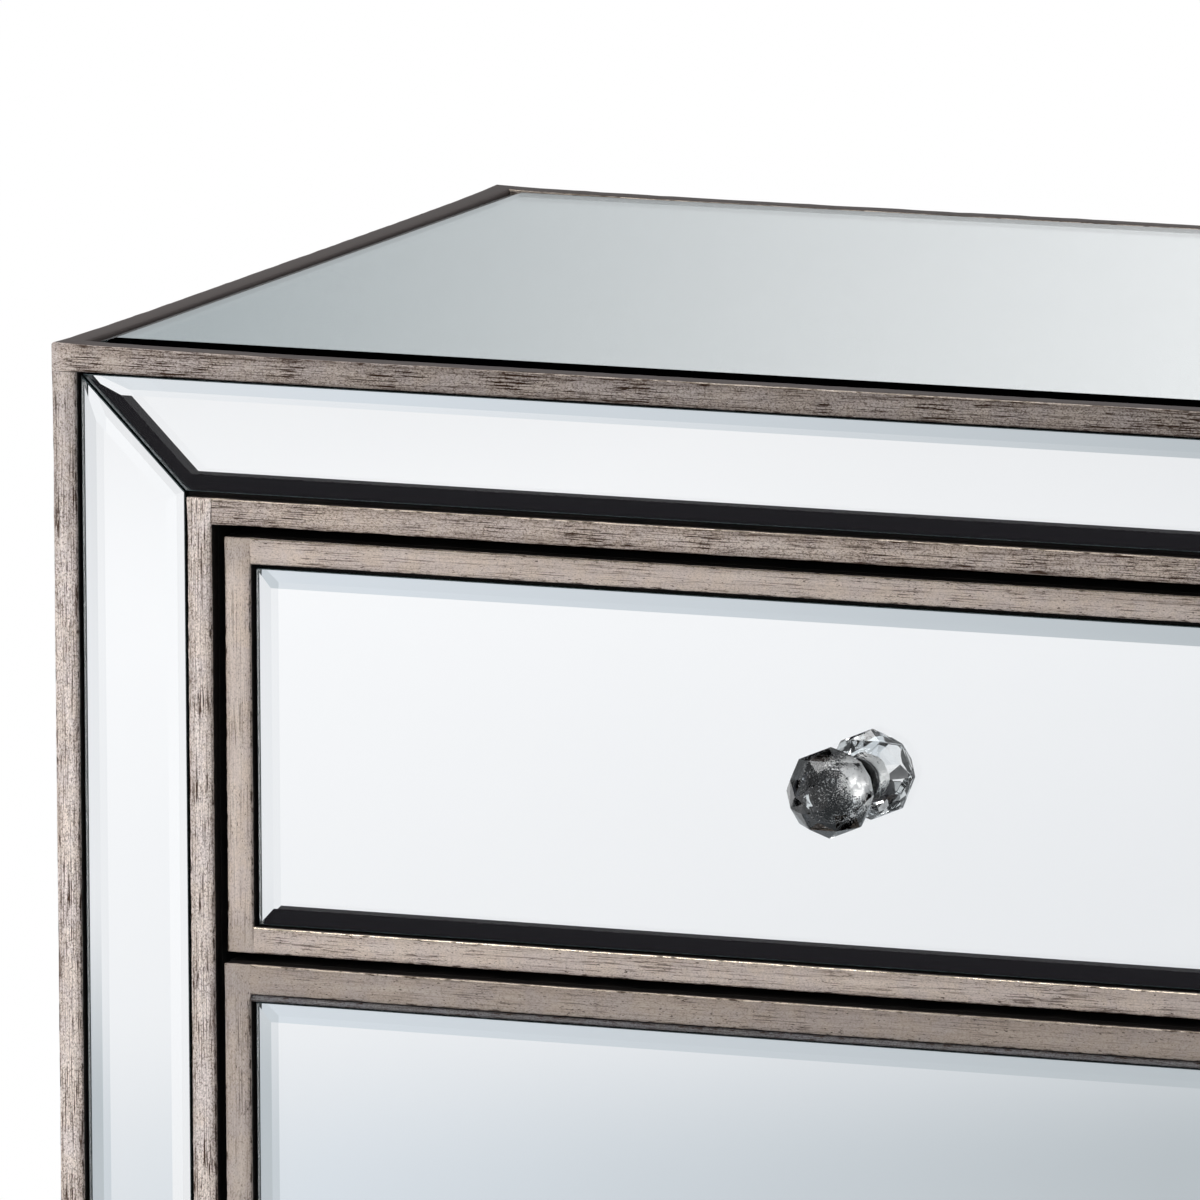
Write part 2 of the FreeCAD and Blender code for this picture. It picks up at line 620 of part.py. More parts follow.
def make_knob(name, glass_face, core_back, z):
    """Faceted crystal on a turned base, held by a screw from inside the drawer."""
    outward = Rotation(Vector(1, 0, 0), 90)
    bore = "(dims.knob_screw_diameter / 2 + dims.thread_clearance)"
    depth = "(dims.knob_screw_grip + dims.thread_clearance)"
    flange = "(dims.knob_flange_diameter / 2)"
    neck = "(dims.knob_neck_diameter / 2)"
    profile = [
        (bore, "0"), (flange, "0"), (flange, "dims.knob_flange"), (neck, "dims.knob_flange"),
        (neck, "dims.knob_base_length"), ("0", "dims.knob_base_length"), ("0", depth), (bore, depth),
    ]
    node(f"{name}_knob_base", turned(f"{name}_knob_base", profile, ("0", glass_face, z), outward))

    rings = [
        ("0", "dims.crystal_back_radius"),
        ("dims.crystal_shoulder_rise", "dims.crystal_shoulder_radius"),
        ("dims.girdle_rise", "dims.knob_diameter / 2"),
        ("dims.girdle_rise + dims.girdle_width", "dims.knob_diameter / 2"),
        ("dims.crown_rise", "dims.crown_radius"),
        ("dims.crystal_length", "dims.crystal_table_radius"),
    ]
    sections = []
    for index, (rise, radius) in enumerate(rings):
        ring = doc.addObject("Part::RegularPolygon", f"{name}_ring_{index}")
        ring.Polygon = KNOB_SIDES
        bind(ring, {"Circumradius": radius})
        place(ring, ("0", f"{glass_face} - dims.knob_base_length - ({rise})", z), outward)
        sections.append(ring)
    crystal = doc.addObject("Part::Loft", f"{name}_knob")
    crystal.Sections = sections
    crystal.Solid = True
    crystal.Ruled = True
    node(f"{name}_knob", crystal)

    shank = "(dims.knob_screw_diameter / 2)"
    head = "(dims.knob_screw_head / 2)"
    cap = "dims.knob_screw_head_height"
    tip = f"({cap} + dims.front_core + dims.glass_thickness + dims.knob_screw_grip)"
    ease = "dims.knob_screw_ease"
    profile = [
        ("0", "0"), (f"{head} - {ease}", "0"), (head, ease), (head, cap),
        (shank, cap), (shank, tip), ("0", tip),
    ]
    screw_base = ("0", f"{core_back} + {cap}", z)
    node(f"{name}_knob_screw", turned(f"{name}_knob_screw", profile, screw_base, outward))


def c_section(height, flange, sheet):
    """Outline of a channel: its web on the v axis, its flanges towards +u."""
    inner = f"{height} - {sheet}"
    return [
        ("0", "0"), (flange, "0"), (flange, sheet), (sheet, sheet),
        (sheet, inner), (flange, inner), (flange, height), ("0", height),
    ]


def make_slides(name, z):
    """Ball-bearing slides at both sides; the ball cages run between case and drawer channels."""
    sheet = "dims.channel_sheet"
    flange = "(dims.slide_space - dims.flange_reach)"
    track_inner = "(dims.inner_channel / 2)"
    track_outer = f"(dims.outer_channel / 2 - {sheet})"
    ball_radius = f"(({track_outer} - {track_inner}) / 2 - dims.ball_clearance)"
    ball_row = f"(({track_outer} + {track_inner}) / 2)"
    inner_end = "dims.flange_reach"
    cage_web = f"({inner_end} - dims.cage_clearance - dims.cage_sheet)"
    ball_in = f"(({inner_end} + {flange}) / 2)"
    cage_flange = f"({ball_in} + {ball_radius} + dims.cage_margin - {cage_web})"
    cage_height = f"(2 * {ball_row} + dims.cage_sheet)"

    cases = []
    drawers = []
    cages = []
    blocks = []
    for side, sign, turn, back_turn in (("left", "-", no_turn, half_turn), ("right", "", half_turn, no_turn)):
        outer = c_section("dims.outer_channel", flange, sheet)
        base = (f"{sign}{open_right}", slide_middle, f"{z} - dims.outer_channel / 2")
        cases.append(channel(f"{name}_case_channel_{side}", outer, "dims.slide_length", base, turn))

        inner = c_section("dims.inner_channel", flange, sheet)
        base = (f"{sign}{box_right}", slide_middle, f"{z} - dims.inner_channel / 2")
        drawers.append(channel(f"{name}_channel_{side}", inner, "dims.slide_length", base, back_turn))

        plate = c_section(cage_height, cage_flange, "dims.cage_sheet")
        base = (f"{sign}({open_right} - {cage_web})", slide_middle, f"{z} - {cage_height} / 2")
        strip = channel(f"{name}_cage_strip_{side}", plate, "dims.cage_length", base, turn)
        ball_x = f"{sign}({open_right} - {ball_in})"
        holes = []
        for index in range(BALLS_PER_ROW):
            ball_y = f"{slide_middle} + dims.ball_pitch * ({index} - {(BALLS_PER_ROW - 1) / 2})"
            hole_base = (ball_x, ball_y, f"{z} - {cage_height} / 2")
            hole_name = f"{name}_ball_hole_{side}_{index}"
            holes.append(cylinder(hole_name, f"{ball_radius} + dims.ball_clearance", cage_height, hole_base))
            for level, lift in (("low", f"{z} - {ball_row}"), ("high", f"{z} + {ball_row}")):
                ball = doc.addObject("Part::Sphere", f"{name}_ball_{level}_{side}_{index}")
                bind(ball, {"Radius": ball_radius})
                cages.append(place(ball, (ball_x, ball_y, lift)))
        cages.append(cut(f"{name}_cage_{side}", strip, holes))

        start, stop = (f"-{side_inner}", f"-{open_right}") if side == "left" else (open_right, side_inner)
        block_low = (start, frame_rear, f"{z} - dims.block_height / 2")
        block_high = (stop, f"{frame_rear} + dims.block_length", f"{z} + dims.block_height / 2")
        blocks.append(box(f"{name}_runner_block_{side}", block_low, block_high))
    group(f"{name}_slides", drawers)
    group(f"{name}_ball_cages", cages)
    return cases, blocks


def check_objects():
    """Stop if any object failed, or a sub-part has no valid shape."""
    bad = [made.Name for made in doc.Objects if {"Invalid", "Error"} & set(made.State)]
    for made in nodes:
        if made.Shape.isNull() or not made.Shape.isValid() or not made.Shape.Solids:
            bad.append(made.Label)
    if bad:
        sys.exit("failed: " + ", ".join(bad))


make_core()
make_edges()
make_mirrors()
make_legs()
upper_high = f"({open_top} - dims.reveal_top)"
upper_low = f"({upper_high} - dims.upper_front_height)"
lower_high = f"({upper_low} - dims.reveal_between)"
lower_low = f"({open_bottom} + dims.reveal_bottom)"
upper_fixed = make_drawer(
    "upper_drawer", upper_low, upper_high, "dims.upper_recess", "dims.upper_box_height", "dims.strip_width"
)
lower_fixed = make_drawer(
    "lower_drawer", lower_low, lower_high, "dims.lower_recess", "dims.lower_box_height", "dims.lower_rail"
)
group("case_slides", upper_fixed[0] + lower_fixed[0])
group("runner_blocks", upper_fixed[1] + lower_fixed[1])
doc.recompute()
check_objects()

os.makedirs("parts", exist_ok=True)
for made in nodes:
    made.Shape.exportStep(os.path.join("parts", f"{made.Label}.step"))
    print(made.Label, len(made.Shape.Solids), round(made.Shape.Volume, 1))
print(len(nodes), "nodes")
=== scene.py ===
import math

import bmesh
import bpy
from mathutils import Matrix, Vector


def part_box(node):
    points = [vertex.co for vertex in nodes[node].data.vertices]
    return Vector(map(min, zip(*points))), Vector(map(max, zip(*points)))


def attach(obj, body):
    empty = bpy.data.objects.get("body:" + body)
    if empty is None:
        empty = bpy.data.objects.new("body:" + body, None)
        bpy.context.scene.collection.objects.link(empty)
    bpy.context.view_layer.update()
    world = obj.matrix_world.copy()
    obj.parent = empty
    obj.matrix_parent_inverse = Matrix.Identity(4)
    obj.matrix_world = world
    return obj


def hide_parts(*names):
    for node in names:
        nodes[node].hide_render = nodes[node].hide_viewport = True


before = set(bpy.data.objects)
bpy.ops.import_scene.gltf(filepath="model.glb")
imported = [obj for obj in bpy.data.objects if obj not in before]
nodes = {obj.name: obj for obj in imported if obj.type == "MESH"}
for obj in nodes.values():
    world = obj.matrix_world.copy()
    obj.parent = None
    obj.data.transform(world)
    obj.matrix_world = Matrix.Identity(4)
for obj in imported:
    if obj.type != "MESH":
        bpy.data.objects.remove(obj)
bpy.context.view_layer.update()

mm = 0.001
touch = 1e-6  # metres; places closer than this are the same
axes = {"x": 0, "y": 1, "z": 2}
print("frame loaded:", len(nodes), "nodes")


class Wire:  # a socket, or only a tree to add nodes to
    def __init__(self, tree, socket=None):
        self.tree = tree
        self.socket = socket

    def put(self, kind, settings=None, inputs=None, output=0):
        node = self.tree.nodes.new("ShaderNode" + kind)
        for key, value in (settings or {}).items():
            if key == "stops":
                fillRamp(node.color_ramp, value)
            else:
                setattr(node, key, value)
        self.feed(node, inputs or {})
        return Wire(self.tree, node.outputs[output])

    def feed(self, node, inputs):
        for key, value in inputs.items():
            if isinstance(value, Wire):
                self.tree.links.new(value.socket, node.inputs[key])
            else:
                node.inputs[key].default_value = value

    def sums(self, operation, first, second=0.0, clamp=False):
        return self.put("Math", {"operation": operation, "use_clamp": clamp}, {0: first, 1: second})

    def __add__(self, other):
        return self.sums("ADD", self, other)

    __radd__ = __add__

    def __sub__(self, other):
        return self.sums("SUBTRACT", self, other)

    def __rsub__(self, other):
        return self.sums("SUBTRACT", other, self)

    def __mul__(self, other):
        return self.sums("MULTIPLY", self, other)

    __rmul__ = __mul__

    def fade(self, start, stop, strength=1.0):  # 0 at start, the strength at stop, smooth between
        return self.put("MapRange", {"interpolation_type": "SMOOTHSTEP"},
                        {"Value": self, "From Min": start, "From Max": stop, "To Max": strength})

    def run(self, start, stop):  # 0 at start, 1 at stop, straight between
        return self.put("MapRange", {}, {"Value": self, "From Min": start, "From Max": stop})

    def tint(self, first, second):  # the wire is the share of the second colour
        return self.put("Mix", {"data_type": "RGBA"}, {0: self, 6: first, 7: second}, 2)


def fillRamp(ramp, stops):
    while len(ramp.elements) < len(stops):
        ramp.elements.new(0.5)
    for element, (place, colour) in zip(ramp.elements, stops):
        element.position = place
        element.color = colour


def shade(red, green, blue):  # screen colour 0-255 to the linear colour a shader takes
    linear = [((c / 255 + 0.055) / 1.055) ** 2.4 if c > 10 else c / 255 / 12.92 for c in (red, green, blue)]
    return (*linear, 1.0)


def newFinish(name):
    finish = bpy.data.materials.new(name)
    finish.use_nodes = True
    wire = Wire(finish.node_tree)
    return finish, wire, finish.node_tree.nodes["Principled BSDF"]


def objectPlace(wire, scale=(1, 1, 1)):
    spot = wire.put("TexCoord", output="Object")
    return wire.put("Mapping", {}, {"Vector": spot, "Scale": scale})


def speckle(wire, scale, detail=2.0, rough=0.5, bend=0.0, stretch=(1, 1, 1)):
    return wire.put("TexNoise", {}, {"Vector": objectPlace(wire, stretch), "Scale": scale, "Detail": detail,
                                     "Roughness": rough, "Distortion": bend})


def grain(wire, along, runs, across, *quality):  # a small scale along the grain draws the marks out
    stretch = [runs if axis == along else across for axis in "xyz"]
    return speckle(wire, 1.0, *quality, stretch=stretch)


def stored(wire, label):  # a value that the piece's own points carry
    return wire.put("Attribute", {"attribute_name": label}, {}, "Fac")


def bump(wire, height, strength, distance):
    return wire.put("Bump", {}, {"Height": height, "Strength": strength, "Distance": distance})


# the silver leaf of strips, posts and legs
silverLook = {
    "warm": shade(205, 193, 185),
    "cool": shade(201, 191, 188),
    "pale": shade(226, 219, 213),
    "umber": shade(54, 37, 27),  # the stain under the leaf
    "grit": shade(92, 77, 67),
    # painted shade: the dark colour of a strip's sides, which face into gaps and recesses
    "side": shade(36, 33, 32),
    "shadedTopSide": shade(88, 79, 76),  # painted shade: a side that lies flush with the top mirror, darker as its top gets little light
    # painted highlight: the pale colour of the glint along upper edges
    "paintedGlint": shade(240, 226, 200),
    "paintedGlintShare": 0.65,
    "edgeShadeShare": 0.28,  # painted shade: share of grit near the long edges, darker towards both edges as on a rounded face
    "metal": 0.28, "rough": 0.46, "sideRough": 0.30, "topSideRough": 0.55, "shine": 0.3, "topShine": 0.15,
    "warmth": (0.02, -0.028, -0.085),  # what a warmth of 1 adds to red, green and blue
    "relief": (0.35, 0.00012),
}
leafKinds = {  # tone, speckle, streaks, paler ends, their reach in mm, warmth, painted highlight (glint) along the top edge
    # the top rail's low tone is painted shade, and its paler ends are painted light, lighter towards the
    # corners
    "topRail": (0.68, 0.95, 1.4, 0.18, 150, 0.5, 0.30),
    "backTopRail": (0.56, 0.95, 1.4, 0.0, 150, 0.5, 0.25),
    "post": (1.36, 0.90, 1.0, -0.32, 110, 0.1, 0.0),
    "footStrip": (1.0, 0.85, 0.8, 0.0, 150, 0.3, 0.4),
    "openingStile": (1.33, 0.90, 1.1, 0.0, 150, 0.1, 0.0),
    "openingRail": (0.97, 0.90, 1.2, 0.0, 150, 0.9, 0.5),
    "upperTrim": (1.05, 0.42, 0.45, -0.25, 26, 0.9, 0.0),
    "upperRail": (1.05, 0.42, 0.70, -0.06, 20, 0.9, 1.0),
    "lowerTrim": (0.83, 0.40, 0.45, -0.17, 36, 0.8, 0.0),
    "lowerRail": (0.70, 0.38, 0.50, 0.0, 150, 1.1, 0.45),
    # painted reflection: the bead's dark, bluish tone stands for the rail's underside seen in the glass
    "lowerBead": (0.44, 0.80, 0.3, 0.0, 150, -2.0, 0.0),
    "leg": (1.05, 0.80, 1.0, 0.0, 150, 0.3, 0.0),
}
flushRails = ("topRail", "backTopRail")  # their side shows, flush with the top mirror
drawerTrims = ("upperTrim", "upperRail", "lowerTrim", "lowerRail")
coveredJoints = ("topRail", "post") + drawerTrims  # the leaf goes over them
leafMarks = {  # scale along the grain and across it, detail, roughness
    "bands": (16, 330, 3.0, 0.55),
    "fibres": (48, 2500, 2.0, 0.55),
    "breaks": (130, 1100, 2.0, 0.5),
    "dots": (1500, 2100, 1.0, 0.5),
    "dust": (1200, 2300, 2.0, 0.6),
    "chips": (240, 700, 3.0, 0.65),
    "pecks": (520, 2300, 1.0, 0.5),
    "patches": (52, 52, 3.0, 0.6),
    "tone": (110, 110, 3.0, 0.6),
}
leafFades = {  # where a mark begins, where it is full and, if not 1, its strength
    "breaks": (0.44, 0.52), "patches": (0.42, 0.62), "tone": (0.38, 0.62),
    "paleBands": (0.50, 0.72, 0.30), "darkBands": (0.48, 0.28, 0.22),
    "paleDust": (0.46, 0.32, 0.45), "darkDust": (0.46, 0.66, 0.50), "dots": (0.60, 0.67, 0.70),
    "strands": (0.50, 0.60, 0.42), "scratches": (0.585, 0.62), "pecks": (0.70, 0.74, 0.85),
    "rimBreaks": (0.56, 0.70),
    # these are distances in mm
    "worn": (2.30, 1.75, 0.9), "joint": (0.48, 0.28, 0.8), "side": (1.15, 1.40), "nearEdge": (3.5, 0.8),
    "rim": (0.62, 0.42), "glintlessEnds": (120, 260), "clear": (10, 19),
}
chipReach = {"worn": 3.4, "joint": 0.4, "side": 0.5}  # mm that chips add to a distance
gapLabels = ("edgeGap", "endGap", "faceGap", "topGap")
endCover = 12  # mm from a strip's end where its paler or darker end is full


def silverLeaf(kind, along):
    level, grit, streaky, ends, reach, warmth, paintedGlint = leafKinds[kind]
    flush = kind in flushRails
    finish, wire, shader = newFinish(kind + "LeafAlong" + along.upper())

    def marks(label):
        return grain(wire, along, *leafMarks[label])

    def faded(value, label):
        return value.fade(*leafFades[label])

    bands, fibres, dots = marks("bands"), marks("fibres"), marks("dots")
    dust, chips = marks("dust"), marks("chips")
    patches, tone, breaks = (faded(marks(label), label) for label in ("patches", "tone", "breaks"))
    edgeGap, endGap, faceGap, topGap = (stored(wire, label) for label in gapLabels)
    worn = faded(edgeGap + chips * chipReach["worn"], "worn")
    joint = faded(endGap + chips * chipReach["joint"], "joint")
    # painted shade on the sides, beyond the front face
    side = faded(faceGap + chips * chipReach["side"], "side")
    front = 1.0 - side
    nearEdge = faded(edgeGap, "nearEdge")
    # painted highlight along the upper front edge, on an edge that is also polished: more metallic and less
    # rough
    rim = faded(topGap, "rim") * faded(chips + fibres * 0.5, "rimBreaks") * paintedGlint
    if kind == "topRail":  # its painted highlight fades out towards the ends
        rim = rim * faded(endGap, "glintlessEnds")
    scratches = faded(fibres + patches * 0.06 + (streaky - 0.7) * 0.03, "scratches") * breaks
    strands = faded(fibres, "strands") * grit
    if kind in coveredJoints:  # the grain dies out towards the joint
        clear = faded(endGap, "clear")
        scratches, strands = scratches * clear, strands * clear
    dark = wire.sums("MULTIPLY", scratches * (0.50 + 0.50 * patches), streaky, True)
    if kind in drawerTrims:  # short dark pecks, as of a stiff brush
        dark = wire.sums("MAXIMUM", dark, faded(marks("pecks") + patches * 0.04, "pecks"))
    base = tone.tint(silverLook["warm"], silverLook["cool"])
    for share, colour in (
        (faded(bands, "paleBands"), "pale"),
        (faded(bands, "darkBands") * grit, "grit"),
        (faded(dust, "darkDust") * grit, "grit"),
        (faded(dust, "paleDust") * grit, "pale"),
        (faded(dots + patches * 0.04 + nearEdge * 0.04, "dots") * grit, "grit"),
        (strands, "grit"),
        # painted shade near the long edges
        (nearEdge * (silverLook["edgeShadeShare"] * grit), "grit"),
        (dark, "umber"),
    ):
        base = share.tint(base, silverLook[colour])
    depth = level * (1.0 + ends * endGap.fade(reach, endCover))
    base = wire.put("VectorMath", {"operation": "SCALE"}, {0: base, "Scale": depth})
    cast = [1.0 + change * warmth for change in silverLook["warmth"]]
    base = wire.put("VectorMath", {"operation": "MULTIPLY"}, {0: base, 1: cast})
    base = wire.sums("MAXIMUM", worn, joint).tint(base, silverLook["umber"])
    base = (rim * silverLook["paintedGlintShare"]).tint(base, silverLook["paintedGlint"])
    sideRough = silverLook["topSideRough" if flush else "sideRough"]
    relief = dust * -0.4 + dots * -0.4 + dark * -1.0
    wire.feed(shader, {
        "Base Color": side.tint(base, silverLook["shadedTopSide" if flush else "side"]),
        "Metallic": front * (1.0 - dark) * (silverLook["metal"] + 0.55 * rim),
        "Roughness": sideRough + front * (silverLook["rough"] - sideRough + 0.20 * dark - 0.30 * rim),
        "Specular IOR Level": silverLook["topShine" if flush else "shine"],
        "Normal": bump(wire, relief * front, *silverLook["relief"]),
    })
    return finish


# plain finishes: one tone fades into another over the finish's own marks
glassLook = {
    "marks": ("z", 9, 9, 3.0), "fade": (0.45, 0.8), "rough": (0.0, 0.002),
    "tones": ((0.996, 0.999, 0.998, 1), (0.990, 0.996, 0.995, 1)),
    "sockets": {"IOR": 1.52, "Transmission Weight": 1.0},
}
bevelLook = {  # no glare from its face at all, which keeps the bevel dark: painted shade
    **glassLook, "sockets": {**glassLook["sockets"], "Specular Tint": (0, 0, 0, 1)},
}
backingLook = {
    "marks": ("z", 14, 14, 3.0), "fade": (0.3, 0.7), "rough": (0.0, 0.004),
    "tones": ((0.985, 0.987, 0.987, 1), (0.978, 0.981, 0.982, 1)),
    "sockets": {"Metallic": 1.0},
}
edgeLook = {
    "marks": ("z", 900, 900), "fade": (0.3, 0.7), "rough": (0.25, 0.2),
    "tones": (shade(40, 52, 48), shade(22, 30, 28)),
}
arrisLook = {**edgeLook, "tones": (shade(110, 124, 128), shade(70, 82, 84))}
crystalLook = {
    "marks": ("z", 160, 160), "fade": (0.55, 0.9), "rough": (0.0, 0.006),
    "tones": ((0.99, 0.995, 0.995, 1), (0.965, 0.98, 0.978, 1)),
    "sockets": {"IOR": 1.54, "Transmission Weight": 1.0},
}
boardLook = {
    "marks": ("z", 420, 60, 4.0, 0.6), "fade": (0.35, 0.7), "rough": (0.62, 0.2),
    "tones": (shade(16, 15, 15), shade(38, 34, 32)), "relief": (0.2, 0.0002),
}
nylonLook = {
    "marks": ("y", 160, 700, 3.0), "fade": (0.4, 0.7), "rough": (0.38, 0.3),
    "tones": (shade(206, 200, 188), shade(168, 160, 148)),
}


def plainFinish(name, look):
    finish, wire, shader = newFinish(name)
    marks = grain(wire, *look["marks"]).fade(*look["fade"])
    least, spread = look["rough"]
    wire.feed(shader, {"Base Color": marks.tint(*look["tones"]), "Roughness": least + spread * marks})
    if "relief" in look:
        wire.feed(shader, {"Normal": bump(wire, marks, *look["relief"])})
    wire.feed(shader, look.get("sockets", {}))
    return finish


fibreLook = {
    "tones": (shade(58, 47, 40), shade(74, 60, 50)),
    "flecks": shade(104, 86, 70),
    "grain": ("z", 260, 420, 4.0, 0.7),
}


def backBoard():
    finish, wire, shader = newFinish("pressedFibreBoard")
    flecks = grain(wire, *fibreLook["grain"])
    tone = speckle(wire, 12.0, 3.0).fade(0.3, 0.7).tint(*fibreLook["tones"])
    wire.feed(shader, {
        "Base Color": flecks.fade(0.45, 0.75, 0.6).tint(tone, fibreLook["flecks"]),
        "Roughness": 0.55 + 0.25 * flecks,
        "Normal": bump(wire, flecks, 0.3, 0.0003),
    })
    return finish


woodLook = {
    "tones": (shade(222, 196, 158), shade(192, 158, 116)),
    "pores": shade(132, 98, 66),
    "bandGrain": (5, 46, 6.0, 0.62, 0.6),
    "poreGrain": (90, 1700),
}


def drawerWood(name, along):
    finish, wire, shader = newFinish(name)
    bands = grain(wire, along, *woodLook["bandGrain"])
    pores = grain(wire, along, *woodLook["poreGrain"]).fade(0.58, 0.74)
    tone = bands.fade(0.30, 0.68).tint(*woodLook["tones"])
    wire.feed(shader, {
        "Base Color": (pores * 0.45).tint(tone, woodLook["pores"]),
        "Roughness": 0.48 + 0.18 * pores,
        "Normal": bump(wire, pores * -1.0, 0.25, 0.00015),
    })
    return finish


zincLook = {"tones": (shade(176, 180, 184), shade(206, 208, 208)), "spangle": 260, "brush": ("y", 40, 1400)}


def zincSteel():
    finish, wire, shader = newFinish("zincPlatedSteel")
    cells = {"Vector": objectPlace(wire), "Scale": zincLook["spangle"]}
    grey = wire.put("SeparateColor", {}, {"Color": wire.put("TexVoronoi", {}, cells, "Color")})
    brush = grain(wire, *zincLook["brush"])
    wire.feed(shader, {
        "Base Color": grey.tint(*zincLook["tones"]),
        "Metallic": 1.0,
        "Roughness": 0.24 + 0.12 * grey + 0.12 * brush,
    })
    return finish


chromeLook = {"tones": (shade(70, 70, 73), shade(50, 50, 53)), "smear": 420}


def polishedChrome():
    finish, wire, shader = newFinish("polishedChrome")
    smear = speckle(wire, chromeLook["smear"], 3.0)
    wire.feed(shader, {
        "Base Color": smear.fade(0.35, 0.7).tint(*chromeLook["tones"]),
        "Metallic": 1.0,
        "Roughness": 0.05 + 0.10 * smear,
    })
    return finish


# the bright tone is a painted highlight on the insert's right and upper side
insertLook = {"tones": (shade(10, 10, 11), shade(250, 248, 246)), "pits": 1000, "flecks": 2100, "metal": 0.95}


def insertWithPaintedHighlight():
    finish, wire, shader = newFinish("insertWithPaintedHighlight")
    pits = speckle(wire, insertLook["pits"], 3.0, 0.75)
    flecks = speckle(wire, insertLook["flecks"], 2.0, 0.6)
    shine = stored(wire, "shine")
    # painted highlight: bright towards the right and up, with a ragged edge
    bare = (shine + (pits - 0.5) * 2.6).fade(0.46, 0.56)
    bare = wire.sums("MAXIMUM", bare, (flecks + shine * 0.08).fade(0.56, 0.62, 0.8))
    wire.feed(shader, {
        "Base Color": bare.tint(*insertLook["tones"]),
        "Metallic": insertLook["metal"],
        "Roughness": 0.10 + 0.25 * bare,
        "Normal": bump(wire, pits, 0.3, 0.0003),
    })
    return finish


leafFinishes = {}


def leaf(kind, along):  # each finish is made once
    if (kind, along) not in leafFinishes:
        leafFinishes[kind, along] = silverLeaf(kind, along)
    return leafFinishes[kind, along]


mirrorGlass = plainFinish("mirrorGlass", glassLook)
bevelGlass = plainFinish("mirrorBevel", bevelLook)
mirrorSilver = plainFinish("mirrorSilver", backingLook)
mirrorEdge = plainFinish("mirrorSeamedEdge", edgeLook)
mirrorArris = plainFinish("mirrorArris", arrisLook)
crystalGlass = plainFinish("cutCrystal", crystalLook)
chrome = polishedChrome()
insertMetal = insertWithPaintedHighlight()
print("finishes made:", len(bpy.data.materials))


def setMode(mode):
    bpy.ops.object.mode_set(mode=mode)


def clearSelection():
    if bpy.context.object and bpy.context.object.mode != "OBJECT":
        setMode("OBJECT")
    bpy.ops.object.select_all(action="DESELECT")


def pick(kind, test):  # selects what passes the test on the object in edit mode
    bpy.ops.mesh.select_mode(type=kind)
    bpy.ops.mesh.select_all(action="DESELECT")
    mesh = bmesh.from_edit_mesh(bpy.context.object.data)
    members = {"VERT": mesh.verts, "EDGE": mesh.edges, "FACE": mesh.faces}[kind]
    for member in members:
        if test(member):
            member.select = True
    mesh.select_flush_mode()
    bmesh.update_edit_mesh(bpy.context.object.data)


def selectAll():
    bpy.ops.mesh.select_all(action="SELECT")


def faceOutwards():
    selectAll()
    bpy.ops.mesh.normals_make_consistent(inside=False)


def runsAlong(edge, axis):  # within about 45 degrees
    run = edge.verts[1].co - edge.verts[0].co
    return run.length > touch and abs(run[axis]) / run.length > 0.7


def shift(axis, distance):  # moves what is selected
    move = [0, 0, 0]
    move[axis] = distance
    bpy.ops.transform.translate(value=move)


def named(name):
    piece = bpy.context.object
    piece.name = name
    piece.data.name = name
    return piece


def addBlock(name, low, high):
    clearSelection()
    centre = [(a + b) / 2 for a, b in zip(low, high)]
    bpy.ops.mesh.primitive_cube_add(size=1, location=centre)
    bpy.context.object.scale = [b - a for a, b in zip(low, high)]
    bpy.ops.object.transform_apply()
    return named(name)


def applyModifiers(piece):
    bpy.context.view_layer.objects.active = piece
    for modifier in list(piece.modifiers):
        bpy.ops.object.modifier_apply(modifier=modifier.name)


def settle(piece, body, replaced, finishes):
    piece.data.materials.clear()
    for finish in finishes:
        piece.data.materials.append(finish)
    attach(piece, body)
    if replaced:
        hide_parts(replaced)


# wood strips: a rounded profile drawn out along its run, then worn by hand
stripWear = {
    "ease": 0.9,  # rounding of a long edge, mm
    "cornerEase": 1.0,  # rounding of the case's outer corners
    "cornerBlend": 1.6,  # how soon a tip is wholly on the round corner
    "arcSteps": 4,
    "flatStep": 1.6,  # points across a flat
    "runStep": 1.5,  # sections along the run
    "endSteps": (0.0, 0.1, 0.3, 0.6, 0.9, 1.5, 2.4),  # closer sections near an end
    "wave": 0.16,  # slow unevenness of the faces
    "waveSize": 22.0,
    "chip": 0.45,  # wear of the long edges
    "chipSize": 2.6,
    "chipReach": 2.2,  # from the edge
    "calm": 7.0,  # wear grows over this length from an end
    "smooth": 40,  # degrees
}
farGap = 9.0  # mm, further than any mark or wear reaches

waveTexture = bpy.data.textures.new("handWave", "CLOUDS")
waveTexture.noise_scale = stripWear["waveSize"] * mm
waveTexture.noise_depth = 1
chipTexture = bpy.data.textures.new("edgeChips", "CLOUDS")
chipTexture.noise_scale = stripWear["chipSize"] * mm
chipTexture.noise_depth = 2


def roundedProfile(corners):  # corners are (across, up, rounding); gives points round the section, in mm
    points = []
    count = len(corners)
    for index, (a, b, ease, *filled) in enumerate(corners):
        here = Vector((a, b))
        before = (Vector(corners[index - 1][:2]) - here).normalized()
        after = (Vector(corners[(index + 1) % count][:2]) - here).normalized()
        if ease == 0:
            points.append(here)
            continue
        hub = here + (before + after) * ease
        for step in range(stripWear["arcSteps"] + 1):
            turn = math.pi / 2 * step / stripWear["arcSteps"]
            points.append(hub - after * ease * math.cos(turn) - before * ease * math.sin(turn))
    spread = []
    for here, ahead in zip(points, points[1:] + points[:1]):
        steps = max(1, round((ahead - here).length / stripWear["flatStep"]))
        spread += [here.lerp(ahead, step / steps) for step in range(steps)]
    return spread


def acrossAndUp(axis):  # the axes of a strip's section
    return [index for index in range(3) if index != axis]


